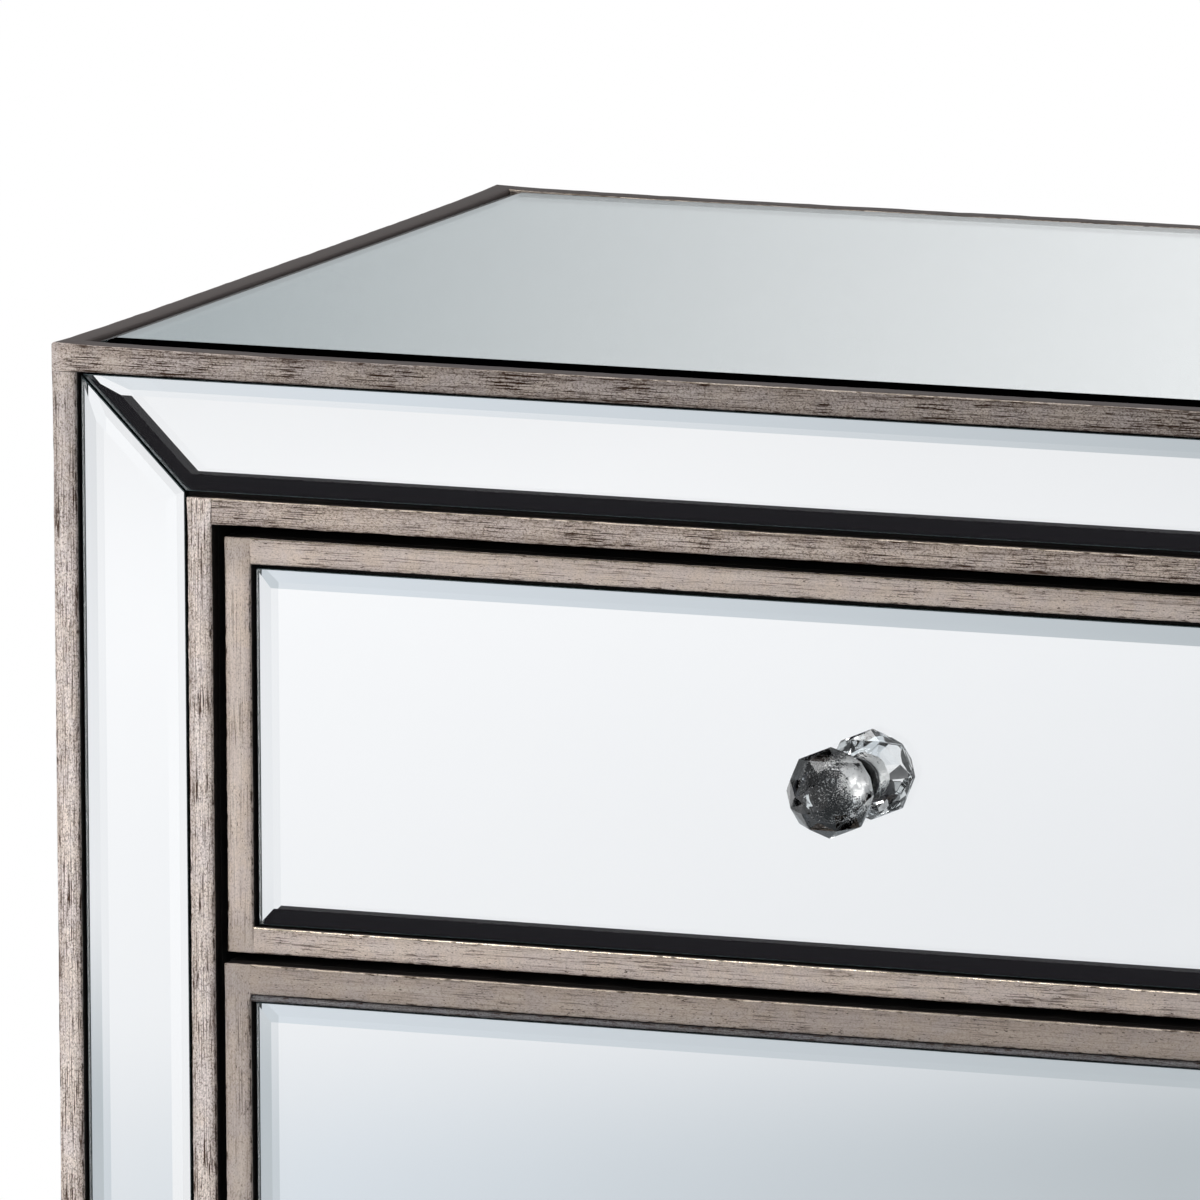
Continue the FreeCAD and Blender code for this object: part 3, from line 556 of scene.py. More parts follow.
def addStrip(name, along, start, stop, corners, shown, mitre=None, jointLine=False):
    axis = axes[along]
    across, up = acrossAndUp(axis)
    section = roundedProfile(corners)

    def spot(point, run):
        place = [0, 0, 0]
        place[axis], place[across], place[up] = run, point[0], point[1]
        return Vector(place) * mm

    clearSelection()
    bpy.ops.mesh.primitive_circle_add(vertices=len(section), fill_type="NGON")
    piece = named(name)
    for vertex, point in zip(piece.data.vertices, section):
        vertex.co = spot(point, start)
    setMode("EDIT")
    selectAll()
    run = [0, 0, 0]
    run[axis] = (stop - start) * mm
    bpy.ops.mesh.extrude_region_move(TRANSFORM_OT_translate={"value": run})
    faceOutwards()
    cuts = round((stop - start) / stripWear["runStep"])
    pick("EDGE", lambda edge: runsAlong(edge, axis))
    bpy.ops.mesh.subdivide(number_cuts=cuts)
    setMode("OBJECT")
    shapeEnds(piece, axis, start, stop, cuts + 1, mitre)
    markGaps(piece, axis, corners, shown, start, stop, mitre, jointLine)
    return piece


def shapeEnds(piece, axis, start, stop, sections, mitre):  # closer sections at the ends, and mitres
    close = stripWear["endSteps"]
    step = (stop - start) / sections
    for vertex in piece.data.vertices:
        count = round((vertex.co[axis] / mm - start) / step)
        fromEnd = min(count, sections - count)
        gap = close[fromEnd] if fromEnd < len(close) else fromEnd * step
        run = start + gap if count < sections / 2 else stop - gap
        if mitre:  # the inner side of a mitred end is shorter by its distance from the outer face
            side, face = mitre
            inset = abs(vertex.co[axes[side]] / mm - face)
            half = (start + stop) / 2
            run = half + (run - half) * (half - start - inset) / (half - start)
        vertex.co[axis] = run * mm


# distances in mm, for finish and wear
def markGaps(piece, axis, corners, shown, start, stop, mitre, jointLine):
    across, up = acrossAndUp(axis)
    top = max(corner[1] for corner in corners)
    gaps = []
    for vertex in piece.data.vertices:
        flat = Vector((vertex.co[across], vertex.co[up])) / mm
        run = vertex.co[axis] / mm
        end = min(run - start, stop - run)
        if mitre:
            end -= abs(vertex.co[axes[mitre[0]]] / mm - mitre[1])
        edge = upper = farGap
        for a, b, ease, *filled in corners:
            if ease == 0:
                continue
            share = max((fill(run, ease) for fill in filled), default=0.0)
            gap = (flat - Vector((a, b))).length + farGap * share
            edge = min(edge, gap)
            if axis != 2 and b == top and a == shown[0][1]:  # upper front edge of a level strip
                upper = gap
        face = min(abs(vertex.co[axes[side]] / mm - place) for side, place in shown)
        gaps.append((edge, end if jointLine else end + farGap, face, upper, max(0.0, end)))
    fillJoints(piece, axis, corners)
    storeGaps(piece, gaps)


def fillJoints(piece, axis, corners):  # where another strip butts against an edge, its rounding is filled
    across, up = acrossAndUp(axis)
    slack = touch / mm
    for a, b, ease, *filled in corners:
        for fill in filled:
            for vertex in piece.data.vertices:
                share = fill(vertex.co[axis] / mm, ease)
                wide, deep = vertex.co[across] / mm - a, vertex.co[up] / mm - b
                if share == 0 or max(abs(wide), abs(deep)) > ease + slack:
                    continue
                if abs(wide) < abs(deep) + slack:
                    vertex.co[across] -= wide * share * mm
                if abs(deep) < abs(wide) + slack:
                    vertex.co[up] -= deep * share * mm


def beyond(place, way):  # a joint that starts at a place and goes on to the end of the run
    return lambda run, ease: min(1.0, max(0.0, (run - place) * way / ease))


def storeGaps(piece, gaps):
    for index, label in enumerate(gapLabels):
        layer = piece.data.attributes.new(label, "FLOAT", "POINT")
        layer.data.foreach_set("value", [gap[index] for gap in gaps])
    edges = piece.vertex_groups.new(name="longEdges")
    faces = piece.vertex_groups.new(name="faces")
    for index, (edge, joint, face, upper, end) in enumerate(gaps):
        away = min(1.0, end / stripWear["calm"])
        edges.add([index], max(0.0, 1.0 - edge / stripWear["chipReach"]) * away, "REPLACE")
        faces.add([index], away, "REPLACE")


def roundEnds(piece, axis, start, stop, faces):  # eases the end edges that meet the given faces
    ease = stripWear["ease"] * mm
    for vertex in piece.data.vertices:
        for end, way in ((start * mm, 1), (stop * mm, -1)):
            for side, place, into in faces:
                deep = (vertex.co[axes[side]] - place * mm) * into
                far = (vertex.co[axis] - end) * way
                if deep < ease and far < ease:
                    away = Vector((ease - deep, ease - far))
                    if away.length > ease:
                        away *= ease / away.length
                        vertex.co[axes[side]] = place * mm + (ease - away.x) * into
                        vertex.co[axis] = end + (ease - away.y) * way


def wearStrip(piece):
    for label, texture, strength, group in (
        ("wave", waveTexture, stripWear["wave"], "faces"),
        ("chip", chipTexture, stripWear["chip"], "longEdges"),
    ):
        worn = piece.modifiers.new(label, "DISPLACE")
        worn.texture = texture
        worn.texture_coords = "LOCAL"
        worn.mid_level = 1.0  # only inwards, so the piece stays in its own box
        worn.strength = strength * mm
        worn.vertex_group = group
    applyModifiers(piece)
    clearSelection()
    piece.select_set(True)
    bpy.ops.object.shade_smooth_by_angle(angle=math.radians(stripWear["smooth"]))


def roundCaseCorner(piece):  # pulls the tips of rails, posts and strips onto one round corner
    radius = stripWear["cornerEase"] * mm
    low = Vector([caseReach[axis][0] * mm + radius for axis in "xyz"])
    high = Vector([caseReach[axis][1] * mm - radius for axis in "xyz"])
    for vertex in piece.data.vertices:
        hub = Vector([min(max(vertex.co[i], low[i]), high[i]) for i in range(3)])
        away = vertex.co - hub
        if away.x and away.y and away.length > radius:
            wide, deep = (min(1.0, abs(part) / radius * stripWear["cornerBlend"]) for part in away[:2])
            vertex.co = vertex.co.lerp(hub + away.normalized() * radius, wide * deep)


stripSize = {
    "width": 9,
    "depth": 6,
    "topDepth": 5.2,  # of the top mouldings over the mirror's rebate
    "swell": 0.7,  # rise of the top mouldings towards the corners
    "swellReach": 90,
    "swellDepth": 2.5,
    "drawerStile": 9.6,
    "lowerRail": 11.5,
    "bead": (-1.1, 1.3),  # below and above the lower rail's edge
    "beadBack": 0.5,
    "beadEase": 1.1,
}
caseReach = {"x": (-280, 280), "y": (-176.5, 203.5), "z": (150, 610)}
caseCorners = [(end, side) for end in ("front", "back") for side in ("left", "right")]


def edgeOf(side):  # run of a level strip, the axis that it faces along, its outer face and the way inwards
    along, outward = ("x", "y") if side in ("front", "back") else ("y", "x")
    low, high = caseReach[outward]
    return (along, outward, low, 1) if side in ("front", "left") else (along, outward, high, -1)


def makeRail(side):
    along, outward, face, inward = edgeOf(side)
    width, ease = stripSize["width"], stripWear["ease"]
    top = caseReach["z"][1]
    start, stop = caseReach[along]
    inner = face + inward * width
    rebate = face + inward * stripSize["depth"]
    under = top - stripSize["topDepth"]
    corners = [
        (face, top - width, ease, beyond(start + width, -1), beyond(stop - width, 1)), (face, top, ease),
        (inner, top, ease), (inner, under, 0), (rebate, under, 0), (rebate, top - width, 0),
    ]
    shown, kind = [(outward, face)], "topRail"
    if side == "back":  # its inner edge is the one that is seen over the mirror, and it takes the painted highlight
        shown, kind = [(outward, inner), (outward, face)], "backTopRail"
    piece = addStrip("topRail." + side, along, start, stop, corners, shown, (outward, face))
    wearStrip(piece)
    roundCaseCorner(piece)
    for vertex in piece.data.vertices:  # the top swells a little towards the corners
        run = vertex.co[axes[along]] / mm
        near = max(0.0, 1.0 - min(run - start, stop - run) / stripSize["swellReach"])
        if vertex.co.z > (top - stripSize["swellDepth"]) * mm:
            vertex.co.z += near * near * stripSize["swell"] * mm
    settle(piece, "case", "top_edge_" + side, [leaf(kind, along)])


def makePost(end, side):
    faceX, inX = edgeOf(side)[2:]
    faceY, inY = edgeOf(end)[2:]
    width, depth, ease = stripSize["width"], stripSize["depth"], stripWear["ease"]
    corners = [
        (faceX, faceY, stripWear["cornerEase"]), (faceX + inX * width, faceY, ease),
        (faceX + inX * width, faceY + inY * depth, 0), (faceX + inX * depth, faceY + inY * depth, 0),
        (faceX + inX * depth, faceY + inY * width, 0), (faceX, faceY + inY * width, ease),
    ]
    low, high = caseReach["z"][0] + width, caseReach["z"][1] - width
    shown = [("x", faceX), ("y", faceY)]
    piece = addStrip(f"post.{end}.{side}", "z", low, high, corners, shown)
    wearStrip(piece)
    settle(piece, "case", f"corner_post_{end}_{side}", [leaf("post", "z")])


def makeFootStrip(side):
    along, outward, face, inward = edgeOf(side)
    width, ease = stripSize["width"], stripWear["ease"]
    low = caseReach["z"][0]
    high = low + width
    start, stop = caseReach[along]
    inner = face + inward * stripSize["depth"]
    corners = [
        (face, low, ease), (face, high, ease, beyond(start + width, -1), beyond(stop - width, 1)),
        (inner, high, 0), (inner, low, 0),
    ]
    shown = [(outward, face)]
    piece = addStrip("footStrip." + side, along, start, stop, corners, shown, (outward, face))
    wearStrip(piece)
    roundCaseCorner(piece)
    settle(piece, "case", "bottom_edge_strips", [leaf("footStrip", along)])


def makeBead(name, node, body, start, stop, edge, face, rear):
    low, high = (edge + part for part in stripSize["bead"])
    face += stripSize["beadBack"]
    ease = stripSize["beadEase"]
    corners = [(face, low, ease), (face, high, ease), (rear, high, 0), (rear, low, 0)]
    piece = addStrip(name + ".bead", "x", start, stop, corners, [("y", face)])
    wearStrip(piece)
    settle(piece, body, node, [leaf("lowerBead", "x")])


# four strips round an opening: stiles run the full height, rails butt between them
def makeTrim(name, node, body, stileKind, railKind, jointLine, stileSize, topSize):
    low, high = (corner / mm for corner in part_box(node))
    face, rear = low.y, high.y
    width, ease = stripSize["width"], stripWear["ease"]
    stile, topWidth = stripSize[stileSize], stripSize[topSize]
    shown = [("y", face)]
    joints = (beyond(low.z + width, -1), beyond(high.z - topWidth, 1))
    for side in ("left", "right"):
        edge = low.x if side == "left" else high.x - stile
        left, right = (edge, face, ease), (edge + stile, face, ease)
        if side == "left":
            right += joints
        else:
            left += joints
        corners = [left, right, (edge + stile, rear, 0), (edge, rear, 0)]
        piece = addStrip(f"{name}.{side}", "z", low.z, high.z, corners, shown)
        outer = low.x if side == "left" else high.x
        roundEnds(piece, 2, low.z, high.z, [("y", face, 1), ("x", outer, 1 if side == "left" else -1)])
        wearStrip(piece)
        settle(piece, body, node, [leaf(stileKind, "z")])
    start, stop = low.x + stile, high.x - stile
    for side in ("bottom", "top"):
        edge, over = (low.z, low.z + width) if side == "bottom" else (high.z - topWidth, high.z)
        if over - edge > width + 1:  # the wider rail ends in a bead against the glass
            makeBead(name, node, body, start, stop, edge, face, rear)
            edge += stripSize["bead"][1]
        corners = [(face, edge, ease), (face, over, ease), (rear, over, 0), (rear, edge, 0)]
        piece = addStrip(f"{name}.{side}", "x", start, stop, corners, shown, None, jointLine)
        wearStrip(piece)
        settle(piece, body, node, [leaf(railKind, "x")])


trims = {  # node, body, finishes of stiles and rails, whether joints show, widths of stiles and top rail
    "openingTrim": ("opening_trim", "case", "openingStile", "openingRail", True, "width", "width"),
    "upperTrim": (
        "upper_drawer_trim", "upper_drawer", "upperTrim", "upperRail", False, "drawerStile", "width",
    ),
    "lowerTrim": (
        "lower_drawer_trim", "lower_drawer", "lowerTrim", "lowerRail", False, "drawerStile", "lowerRail",
    ),
}
for side in ("front", "back", "left", "right"):
    makeRail(side)
    makeFootStrip(side)
for end, side in caseCorners:
    makePost(end, side)
for name, facts in trims.items():
    makeTrim(name, *facts)
print("wood strips made")


# legs: a block tapered on its two inner faces
legShape = {"foot": 26, "ease": 2.0, "easeSteps": 4, "cuts": 52, "bands": 9, "sharp": 1.0}  # sharp in radians


def makeLeg(end, side):
    node = f"leg_{end}_{side}"
    low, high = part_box(node)
    piece = addBlock(f"taperedLeg.{end}.{side}", low, high)
    innerX = high.x if side == "left" else low.x
    innerY = high.y if end == "front" else low.y
    taper = (high.x - low.x) - legShape["foot"] * mm
    setMode("EDIT")
    foot = low.z + touch
    pick("VERT", lambda v: v.co.z < foot and abs(v.co.x - innerX) < touch)
    shift(0, -taper if side == "left" else taper)
    pick("VERT", lambda v: v.co.z < foot and abs(v.co.y - innerY) < touch)
    shift(1, -taper if end == "front" else taper)
    pick("EDGE", lambda edge: not runsAlong(edge, 2))
    bpy.ops.mesh.subdivide(number_cuts=legShape["bands"])
    pick("EDGE", lambda edge: runsAlong(edge, 2) and len(edge.link_faces) == 2
         and edge.calc_face_angle() > legShape["sharp"])
    bpy.ops.mesh.bevel(offset=legShape["ease"] * mm, segments=legShape["easeSteps"], affect="EDGES")
    pick("EDGE", lambda edge: runsAlong(edge, 2))
    bpy.ops.mesh.subdivide(number_cuts=legShape["cuts"])
    setMode("OBJECT")
    markLeg(piece, low, high, innerX, innerY, taper)
    wearStrip(piece)
    settle(piece, "case", node, [leaf("leg", "z")])


def markLeg(piece, low, high, innerX, innerY, taper):
    outerX = low.x if innerX == high.x else high.x
    outerY = low.y if innerY == high.y else high.y
    gaps = []
    for vertex in piece.data.vertices:
        share = (high.z - vertex.co.z) / (high.z - low.z) * taper / (high.x - low.x)
        wide = innerX + (outerX - innerX) * share
        deep = innerY + (outerY - innerY) * share
        gapX = min(abs(vertex.co.x - outerX), abs(vertex.co.x - wide))
        gapY = min(abs(vertex.co.y - outerY), abs(vertex.co.y - deep))
        end = min(vertex.co.z - low.z, high.z - vertex.co.z) / mm
        gaps.append((max(gapX, gapY) / mm, farGap, 0.0, farGap, end))
    storeGaps(piece, gaps)


for end, side in caseCorners:
    makeLeg(end, side)
print("legs made")


# mirrors: a glass plate with a ground bevel, silvered on its back
mirrorShape = {"bevel": 6.0, "drop": 1.6, "arris": 0.25, "backGap": 0.08}
plateFinishes = [mirrorGlass, bevelGlass, mirrorSilver, mirrorEdge, mirrorArris]
plateTilts = [  # a face whose tilt outwards is more than this has this finish
    (0.999, mirrorGlass), (0.9, bevelGlass), (0.2, mirrorArris), (-0.9, mirrorEdge), (-2.0, mirrorSilver),
]


def makeMirror(name, node, body, facing, narrows=None):
    low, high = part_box(node)
    axis = axes[facing[0]]
    outward = 1 if facing[1] == "+" else -1
    if outward > 0:
        low[axis] += mirrorShape["backGap"] * mm
    else:
        high[axis] -= mirrorShape["backGap"] * mm
    piece = addBlock(name, low, high)
    face = high[axis] if outward > 0 else low[axis]
    setMode("EDIT")
    if narrows:  # a border plate is shorter on its inner side, by its own width
        run, side = axes[narrows[0]], axes[narrows[1]]
        width = (high - low)[side]
        edge = high[side] if narrows[2] == "+" else low[side]
        for end, way in ((low[run], 1), (high[run], -1)):
            pick("VERT", lambda v: abs(v.co[side] - edge) < touch and abs(v.co[run] - end) < touch)
            shift(run, way * width)
    pick("FACE", lambda f: abs(f.calc_center_median()[axis] - face) < touch)
    bpy.ops.mesh.inset(thickness=mirrorShape["bevel"] * mm, depth=0)
    inset = {v.index for v in bmesh.from_edit_mesh(piece.data).verts if v.select}
    pick("VERT", lambda v: abs(v.co[axis] - face) < touch and v.index not in inset)
    drop = -outward * mirrorShape["drop"] * mm
    shift(axis, drop)
    pick("EDGE", lambda e: all(abs(v.co[axis] - face - drop) < touch for v in e.verts))
    bpy.ops.mesh.bevel(offset=mirrorShape["arris"] * mm, segments=1, affect="EDGES")
    setMode("OBJECT")
    settle(piece, body, node, plateFinishes)
    for polygon in piece.data.polygons:
        tilt = polygon.normal[axis] * outward
        finish = next(finish for least, finish in plateTilts if tilt > least)
        polygon.material_index = plateFinishes.index(finish)


mirrorPlates = {  # node, body, way it faces; a border plate's run, the axis of its width and its shorter side
    "topPlate": ("top_mirror", "case", "z+"),
    "sidePlate.left": ("left_side_mirror", "case", "x-"),
    "sidePlate.right": ("right_side_mirror", "case", "x+"),
    "borderPlate.top": ("border_mirror_top", "case", "y-", ("x", "z", "-")),
    "borderPlate.bottom": ("border_mirror_bottom", "case", "y-", ("x", "z", "+")),
    "borderPlate.left": ("border_mirror_left", "case", "y-", ("z", "x", "+")),
    "borderPlate.right": ("border_mirror_right", "case", "y-", ("z", "x", "-")),
    "upperPlate": ("upper_drawer_mirror", "upper_drawer", "y-"),
    "lowerPlate": ("lower_drawer_mirror", "lower_drawer", "y-"),
}
for name, facts in mirrorPlates.items():
    makeMirror(name, *facts)
print("mirrors made")


# knobs: cut crystal on a turned base, with the threaded insert that shows inside it
crystalShape = {
    "rings": [  # rise from the back, radius, part of a step turned
        (0.0, 7.0, 0.0), (5.0, 13.0, 0.5), (9.5, 15.0, 0.0), (11.0, 15.0, 0.0), (16.8, 12.3, 0.5),
        (21.0, 8.0, 0.0), (23.0, 4.6, 0.5),
    ],
    "sides": 8,
    "arris": 0.12,
}
baseShape = {
    "steps": [  # rise from the glass, radius
        (0.0, 8.0), (0.9, 8.0), (1.4, 7.5), (1.6, 6.4), (2.6, 5.6), (3.8, 5.9), (4.4, 6.6), (5.0, 6.8),
    ],
    "sides": 64,
}
insertShape = {
    "mouth": 5.0,  # radius where it leaves the back of the crystal
    "radius": 6.3, "root": 5.6, "length": 8.0, "rings": 7, "flare": 0.9, "thread": 0.5,
    "tip": [  # rise, radius of the ridges on its end
        (8.5, 5.2), (8.2, 4.8), (8.8, 4.4), (8.5, 4.0), (9.1, 3.6), (8.8, 3.2), (9.3, 2.8), (9.0, 2.4),
        (9.3, 1.0),
    ],
    "sides": 40,
    "bare": (0.80, 0.45),  # to the right and up: the side with the painted highlight
}
turnedSmooth = 50  # degrees


def makeCrystal(name, node, body):
    low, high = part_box(node)
    x, z = (low.x + high.x) / 2, (low.z + high.z) / 2
    clearSelection()
    sides = crystalShape["sides"]
    for rise, radius, turn in crystalShape["rings"]:
        angle = math.pi / sides * 2 * turn + math.pi / 2
        place = (x, high.y - rise * mm, z)
        bpy.ops.mesh.primitive_circle_add(vertices=sides, radius=radius * mm, location=place,
                                          rotation=(math.pi / 2, angle, 0))
        if bpy.context.object.mode == "OBJECT":  # the first ring is the object, the rest go into its mesh
            bpy.ops.object.transform_apply()
            named(name)
            setMode("EDIT")
    selectAll()
    bpy.ops.mesh.convex_hull(join_triangles=True)
    faceOutwards()
    bpy.ops.mesh.bevel(offset=crystalShape["arris"] * mm, segments=1, affect="EDGES")
    setMode("OBJECT")
    settle(bpy.context.object, body, node, [crystalGlass])


def turnedPiece(name, x, z, start, steps, sides):  # a disc drawn out step by step along -Y
    clearSelection()
    first = steps[0]
    bpy.ops.mesh.primitive_circle_add(vertices=sides, radius=first[1] * mm, fill_type="NGON",
                                      location=(x, start - first[0] * mm, z), rotation=(math.pi / 2, 0, 0))
    bpy.ops.object.transform_apply()
    piece = named(name)
    setMode("EDIT")
    selectAll()
    for (rise, radius), (ahead, wide) in zip(steps, steps[1:]):
        bpy.ops.mesh.extrude_region_move(TRANSFORM_OT_translate={"value": (0, (rise - ahead) * mm, 0)})
        growth = wide / radius
        bpy.ops.transform.resize(value=(growth, 1, growth), center_override=(x, start - ahead * mm, z))
    selectAll()
    bpy.ops.mesh.remove_doubles(threshold=touch)
    faceOutwards()
    setMode("OBJECT")
    bpy.ops.object.shade_smooth_by_angle(angle=math.radians(turnedSmooth))
    return piece


def insertSteps():  # a flared mouth, thread rings and a ridged end
    steps = [(0.0, insertShape["mouth"])]
    pitch = insertShape["length"] / insertShape["rings"]
    for ring in range(insertShape["rings"]):
        widest = insertShape["mouth"] + pitch * (ring + 0.5) * insertShape["flare"]
        root = widest - insertShape["thread"]
        steps += [(pitch * (ring + 0.5), min(widest, insertShape["radius"])),
                  (pitch * (ring + 1), min(root, insertShape["root"]))]
    return steps + insertShape["tip"]


def makeKnob(drawer):
    body = drawer + "_drawer"
    makeCrystal(drawer + "Crystal", body + "_knob", body)
    low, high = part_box(body + "_knob_base")
    x, z = (low.x + high.x) / 2, (low.z + high.z) / 2
    base = turnedPiece(drawer + "KnobBase", x, z, high.y, baseShape["steps"], baseShape["sides"])
    settle(base, body, body + "_knob_base", [chrome])
    insert = turnedPiece(drawer + "KnobInsert", x, z, low.y, insertSteps(), insertShape["sides"])
    # shine carries the painted highlight, growing to the right and up
    right, up = (share / (insertShape["radius"] * mm) for share in insertShape["bare"])
    layer = insert.data.attributes.new("shine", "FLOAT", "POINT")
    layer.data.foreach_set("value", [right * (v.co.x - x) + up * (v.co.z - z) for v in insert.data.vertices])
    settle(insert, body, None, [insertMetal])


makeKnob("upper")
makeKnob("lower")
print("knobs made")


# finishes of the pieces that stay as they were built
def drawerNodes(*parts):
    return [f"{drawer}_drawer_{part}" for drawer in ("upper", "lower") for part in parts]


keptFinishes = {
    # black, so the gaps round the glass and strips show dark
    plainFinish("blackCoreBoard", boardLook): [
        "bottom_panel", "top_panel", "left_side_panel", "right_side_panel", "face_frame_left",
        "face_frame_right", "face_frame_top", "face_frame_bottom", *drawerNodes("front"),
    ],
    backBoard(): ["back_panel"],
    drawerWood("drawerWoodAlongDepth", "y"): [
        "runner_blocks", *drawerNodes("side_left", "side_right", "bottom"),
    ],
    drawerWood("drawerWoodAlongWidth", "x"): drawerNodes("back"),
    zincSteel(): [
        "back_panel_screws", "leg_bolts", "leg_nuts", "case_slides",
        *drawerNodes("slides", "ball_cages", "knob_screw"),
    ],
    plainFinish("nylonGlide", nylonLook): ["foot_glides"],
}
for finish, members in keptFinishes.items():
    for member in members:
        for place in nodes[member].material_slots:
            place.link = "OBJECT"
            place.material = finish
print("kept nodes finished")


# stage: pale floor, backdrop, air and lamps
white = (1, 1, 1, 1)
roomDark = shade(29, 28, 31)


def rayKind(wire):  # rays of the camera, and rays by way of metal and glass
    shown = wire.put("LightPath", output="Is Camera Ray")
    glossy = wire.put("LightPath", output="Is Glossy Ray")
    through = wire.put("LightPath", output="Is Transmission Ray")
    return shown, wire.sums("MAXIMUM", glossy, through)


def split(wire, spot, parts):
    return [wire.put("SeparateXYZ", {}, {0: spot}, part) for part in parts]


floorLook = {
    "size": 40.0,
    "drop": 0.0005,  # below the glides
    "near": [  # close in front, from left to right
        (0.0, shade(242, 243, 245)), (0.28, shade(228, 231, 234)), (0.5, shade(217, 224, 231)),
        (1.0, shade(187, 194, 199)),
    ],
    "nearRun": (-0.62, 0.12),
    "nearSlant": 0.35,
    "far": (shade(251, 252, 254), shade(234, 236, 239)),  # further out, from left to right
    "farRun": (-1.45, -0.75),
    "farFade": (1.9, 2.55),
    "farSlant": 0.8,
    "farTurn": 0.5,
    "dusk": (3.0, 3.9, 0.1),
    "end": (4.1, 4.9),  # the floor ends in a dark room
    "bare": 0.62,  # how white it is beside the shadow
    "white": (0.6, 1.4, 0.38),  # and how it grows white further out
    "cast": (0.82, 0.82, 0.82, 1),
}


def makeFloor(look):
    clearSelection()
    bpy.ops.mesh.primitive_plane_add(size=look["size"], location=(0, 0, -look["drop"]))
    floor = named("studioFloor")
    bpy.ops.object.transform_apply()
    finish, wire = newFinish("paleFloor")[:2]
    spot = wire.put("TexCoord", output="Object")
    x, y = split(wire, spot, "XY")
    away = wire.put("VectorMath", {"operation": "LENGTH"}, {0: spot}, "Value")
    shown, mirrored = rayKind(wire)
    ahead = y * -1.0
    nearRun = (x + ahead * look["nearSlant"]).run(*look["nearRun"])
    near = wire.put("ValToRGB", {"stops": look["near"]}, {"Fac": nearRun})
    far = x.run(*look["farRun"]).tint(*look["far"])
    further = ahead - (x + look["farTurn"]) * look["farSlant"]
    tone = further.fade(*look["farFade"]).tint(near, far)
    tone = ahead.fade(*look["dusk"]).tint(tone, roomDark)
    tone = away.fade(*look["end"]).tint(tone, roomDark)
    glow = wire.put("Emission", {}, {"Color": mirrored.tint(white, tone)})
    bare = shown * (look["bare"] + away.fade(*look["white"]))
    cast = wire.put("BsdfDiffuse", {}, {"Color": look["cast"]})
    mixed = wire.put("MixShader", {}, {0: wire.sums("ADD", bare, mirrored, True), 1: cast, 2: glow})
    wire.feed(finish.node_tree.nodes["Material Output"], {"Surface": mixed})
    floor.data.materials.append(finish)


backdropLook = {
    "y": 1.2, "width": 4.8, "height": 0.98,
    "tones": [(0.0, shade(150, 158, 161)), (0.42, shade(168, 176, 179)), (1.0, shade(247, 249, 250))],
    "run": (-1.25, -0.25),  # of its tones, from left to right
    "strength": 1.14,
}


def makeBackdrop(look):
    clearSelection()
    place = (0, look["y"], look["height"] / 2)
    bpy.ops.mesh.primitive_plane_add(size=1, location=place, rotation=(math.pi / 2, 0, 0))
    card = named("studioBackdrop")
    card.scale = (look["width"], look["height"], 1)
    bpy.ops.object.transform_apply()
    finish, wire = newFinish("backdropSweep")[:2]
    x = split(wire, wire.put("TexCoord", output="Object"), "X")[0]
    tone = wire.put("ValToRGB", {"stops": look["tones"]}, {"Fac": x.run(*look["run"])})
    glow = wire.put("Emission", {}, {"Color": tone, "Strength": look["strength"]})
    wire.feed(finish.node_tree.nodes["Material Output"], {"Surface": glow})
    card.data.materials.append(finish)
    card.visible_camera = False
    card.visible_diffuse = False
    card.visible_shadow = False


airLook = {
    "front": shade(214, 219, 222), "over": shade(205, 208, 211),
    "back": shade(240, 243, 245), "backHigh": shade(140, 144, 147), "backOver": shade(186, 190, 193),
    "beam": shade(10, 10, 11),  # shows as the dark line along the front of the top mirror
    "light": (0.95, 0.97, 1.0, 1), "ambient": 0.14,
    # where each begins and is full, along x, y or z of the way that is looked
    "behindY": (0.0, 0.35), "overZ": (0.45, 0.75), "backHighZ": (0.20, 0.30), "backOverZ": (0.34, 0.46),
    "doorwayX": ((-0.86, -0.74), (-0.06, -0.16)),  # the room is dark on one side of the front only
    "beamX": ((-0.50, -0.46), (-0.29, -0.33)),
    "beamZ": ((0.52, 0.55), (0.66, 0.63)),
}


def within(wire, span):
    return wire.fade(*span[0]) * wire.fade(*span[1])


def makeWorld(look):
    world = bpy.data.worlds.new("studioAir")
    bpy.context.scene.world = world
    world.use_nodes = True
    wire = Wire(world.node_tree)
    x, y, z = split(wire, wire.put("TexCoord", output="Generated"), "XYZ")
    shown, mirrored = rayKind(wire)
    front = within(x, look["doorwayX"]).tint(look["front"], roomDark)
    front = z.fade(*look["overZ"]).tint(front, look["over"])
    back = z.fade(*look["backHighZ"]).tint(look["back"], look["backHigh"])
    back = z.fade(*look["backOverZ"]).tint(back, look["backOver"])
    back = (within(z, look["beamZ"]) * within(x, look["beamX"])).tint(back, look["beam"])
    tone = y.fade(*look["behindY"]).tint(front, back)
    air = wire.put("Background", {}, {"Color": shown.tint(tone, white)})
    light = wire.put("Background", {}, {"Color": look["light"], "Strength": look["ambient"]})
    mixed = wire.put("MixShader", {}, {0: wire.sums("ADD", shown, mirrored, True), 1: light, 2: air})
    wire.feed(world.node_tree.nodes["World Output"], {"Surface": mixed})


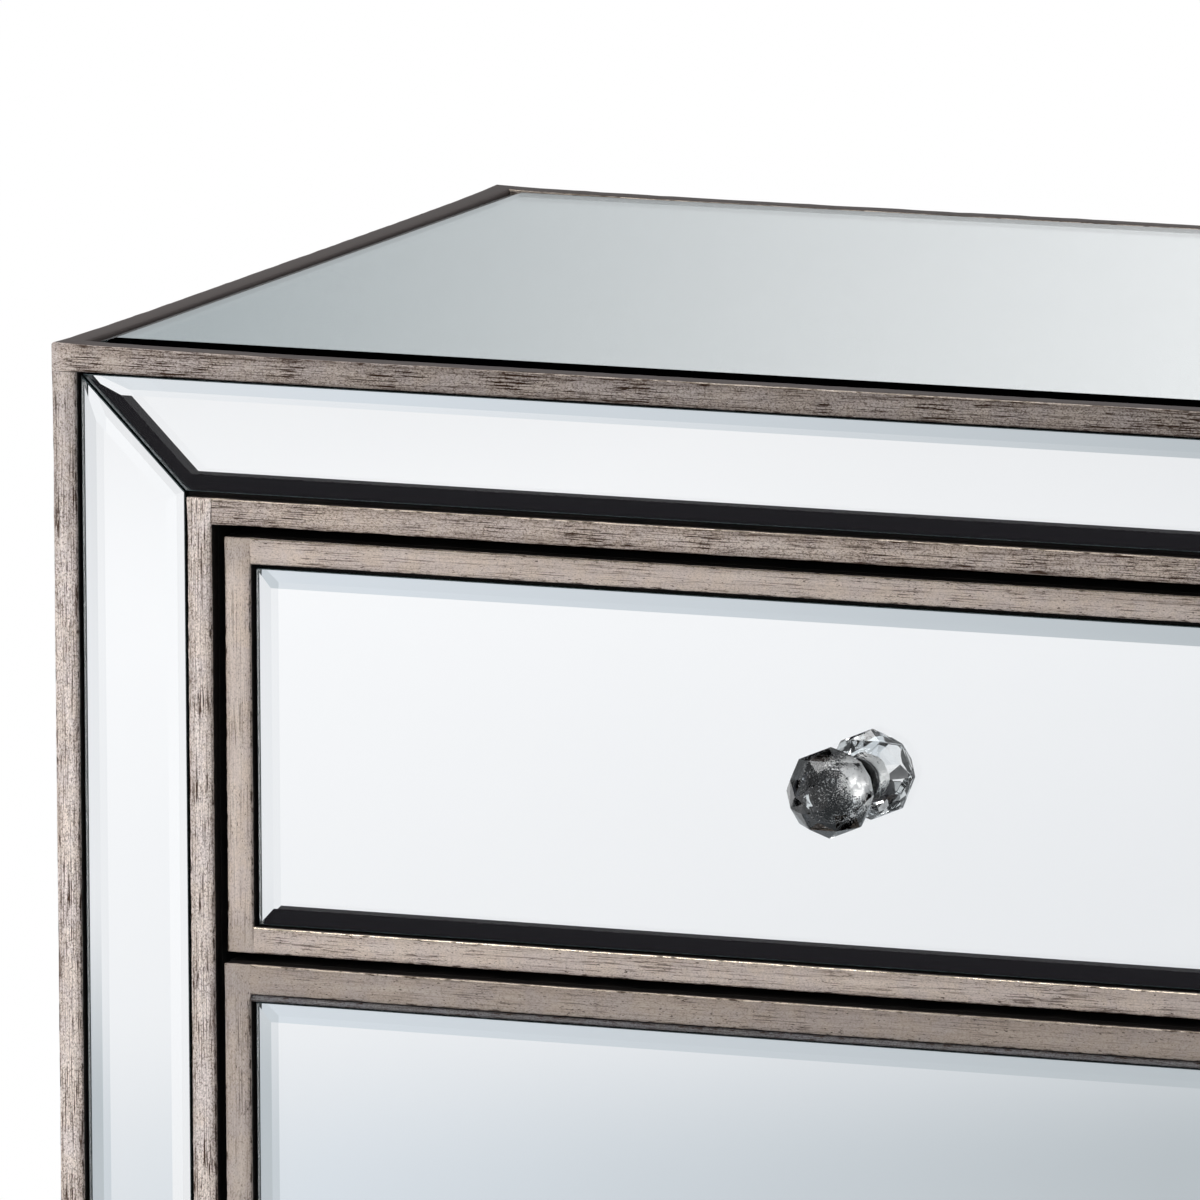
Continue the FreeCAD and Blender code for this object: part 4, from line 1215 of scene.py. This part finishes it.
lamps = {  # place, aim, size, watts, rays that meet it
    "softboxLeft": ((-0.98, -0.80, 0.78), (-0.15, -0.17, 0.45), (0.5, 0.6), 12.5, "diffuse"),
    "softboxFront": ((0.55, -3.1, 1.75), (0.0, 0.0, 0.40), (2.0, 1.2), 14, "diffuse"),
    "softboxOver": ((-0.9, -0.6, 2.6), (0.0, -0.1, 0.5), (2.4, 0.2), 11, "diffuse glossy"),
    "softboxBehind": ((2.2, 1.9, 1.4), (0.0, 0.1, 0.35), (1.2, 1.2), 26, "diffuse"),
    "softboxTop": ((-0.9, 0.4, 2.6), (0.0, -0.1, 0.5), (2.0, 0.8), 20, "glossy transmission"),
    "softboxRight": ((1.05, -1.3, 0.28), (0.0, -0.17, 0.48), (0.7, 0.5), 5, "transmission"),
}


def setUp(name, data, place, turn):
    holder = bpy.data.objects.new(name, data)
    bpy.context.scene.collection.objects.link(holder)
    holder.location = place
    holder.rotation_euler = turn
    return holder


def makeLamp(name, place, aim, size, watts, rays):
    lamp = bpy.data.lights.new(name, "AREA")
    lamp.shape = "RECTANGLE"
    lamp.size, lamp.size_y = size
    lamp.energy = watts
    turn = (Vector(aim) - Vector(place)).to_track_quat("-Z", "Y").to_euler()
    holder = setUp(name, lamp, place, turn)
    holder.visible_diffuse = "diffuse" in rays
    holder.visible_glossy = "glossy" in rays
    holder.visible_transmission = "transmission" in rays


makeFloor(floorLook)
makeBackdrop(backdropLook)
makeWorld(airLook)
for name, facts in lamps.items():
    makeLamp(name, *facts)

cameraView = {
    "place": (2.36984, -6.12343, 1.62038),
    "turn": (80.433912, 0.334064, 22.373963),  # degrees
    "lens": 600.57,
    "sensor": 36,
    "farthest": 200,
}
view = bpy.data.cameras.new("photoView")
view.lens = cameraView["lens"]
view.sensor_width = cameraView["sensor"]
view.clip_end = cameraView["farthest"]
turn = [math.radians(angle) for angle in cameraView["turn"]]
bpy.context.scene.camera = setUp("photoView", view, cameraView["place"], turn)
bpy.context.scene.view_settings.view_transform = "Standard"
print("stage set")

bpy.context.view_layer.update()
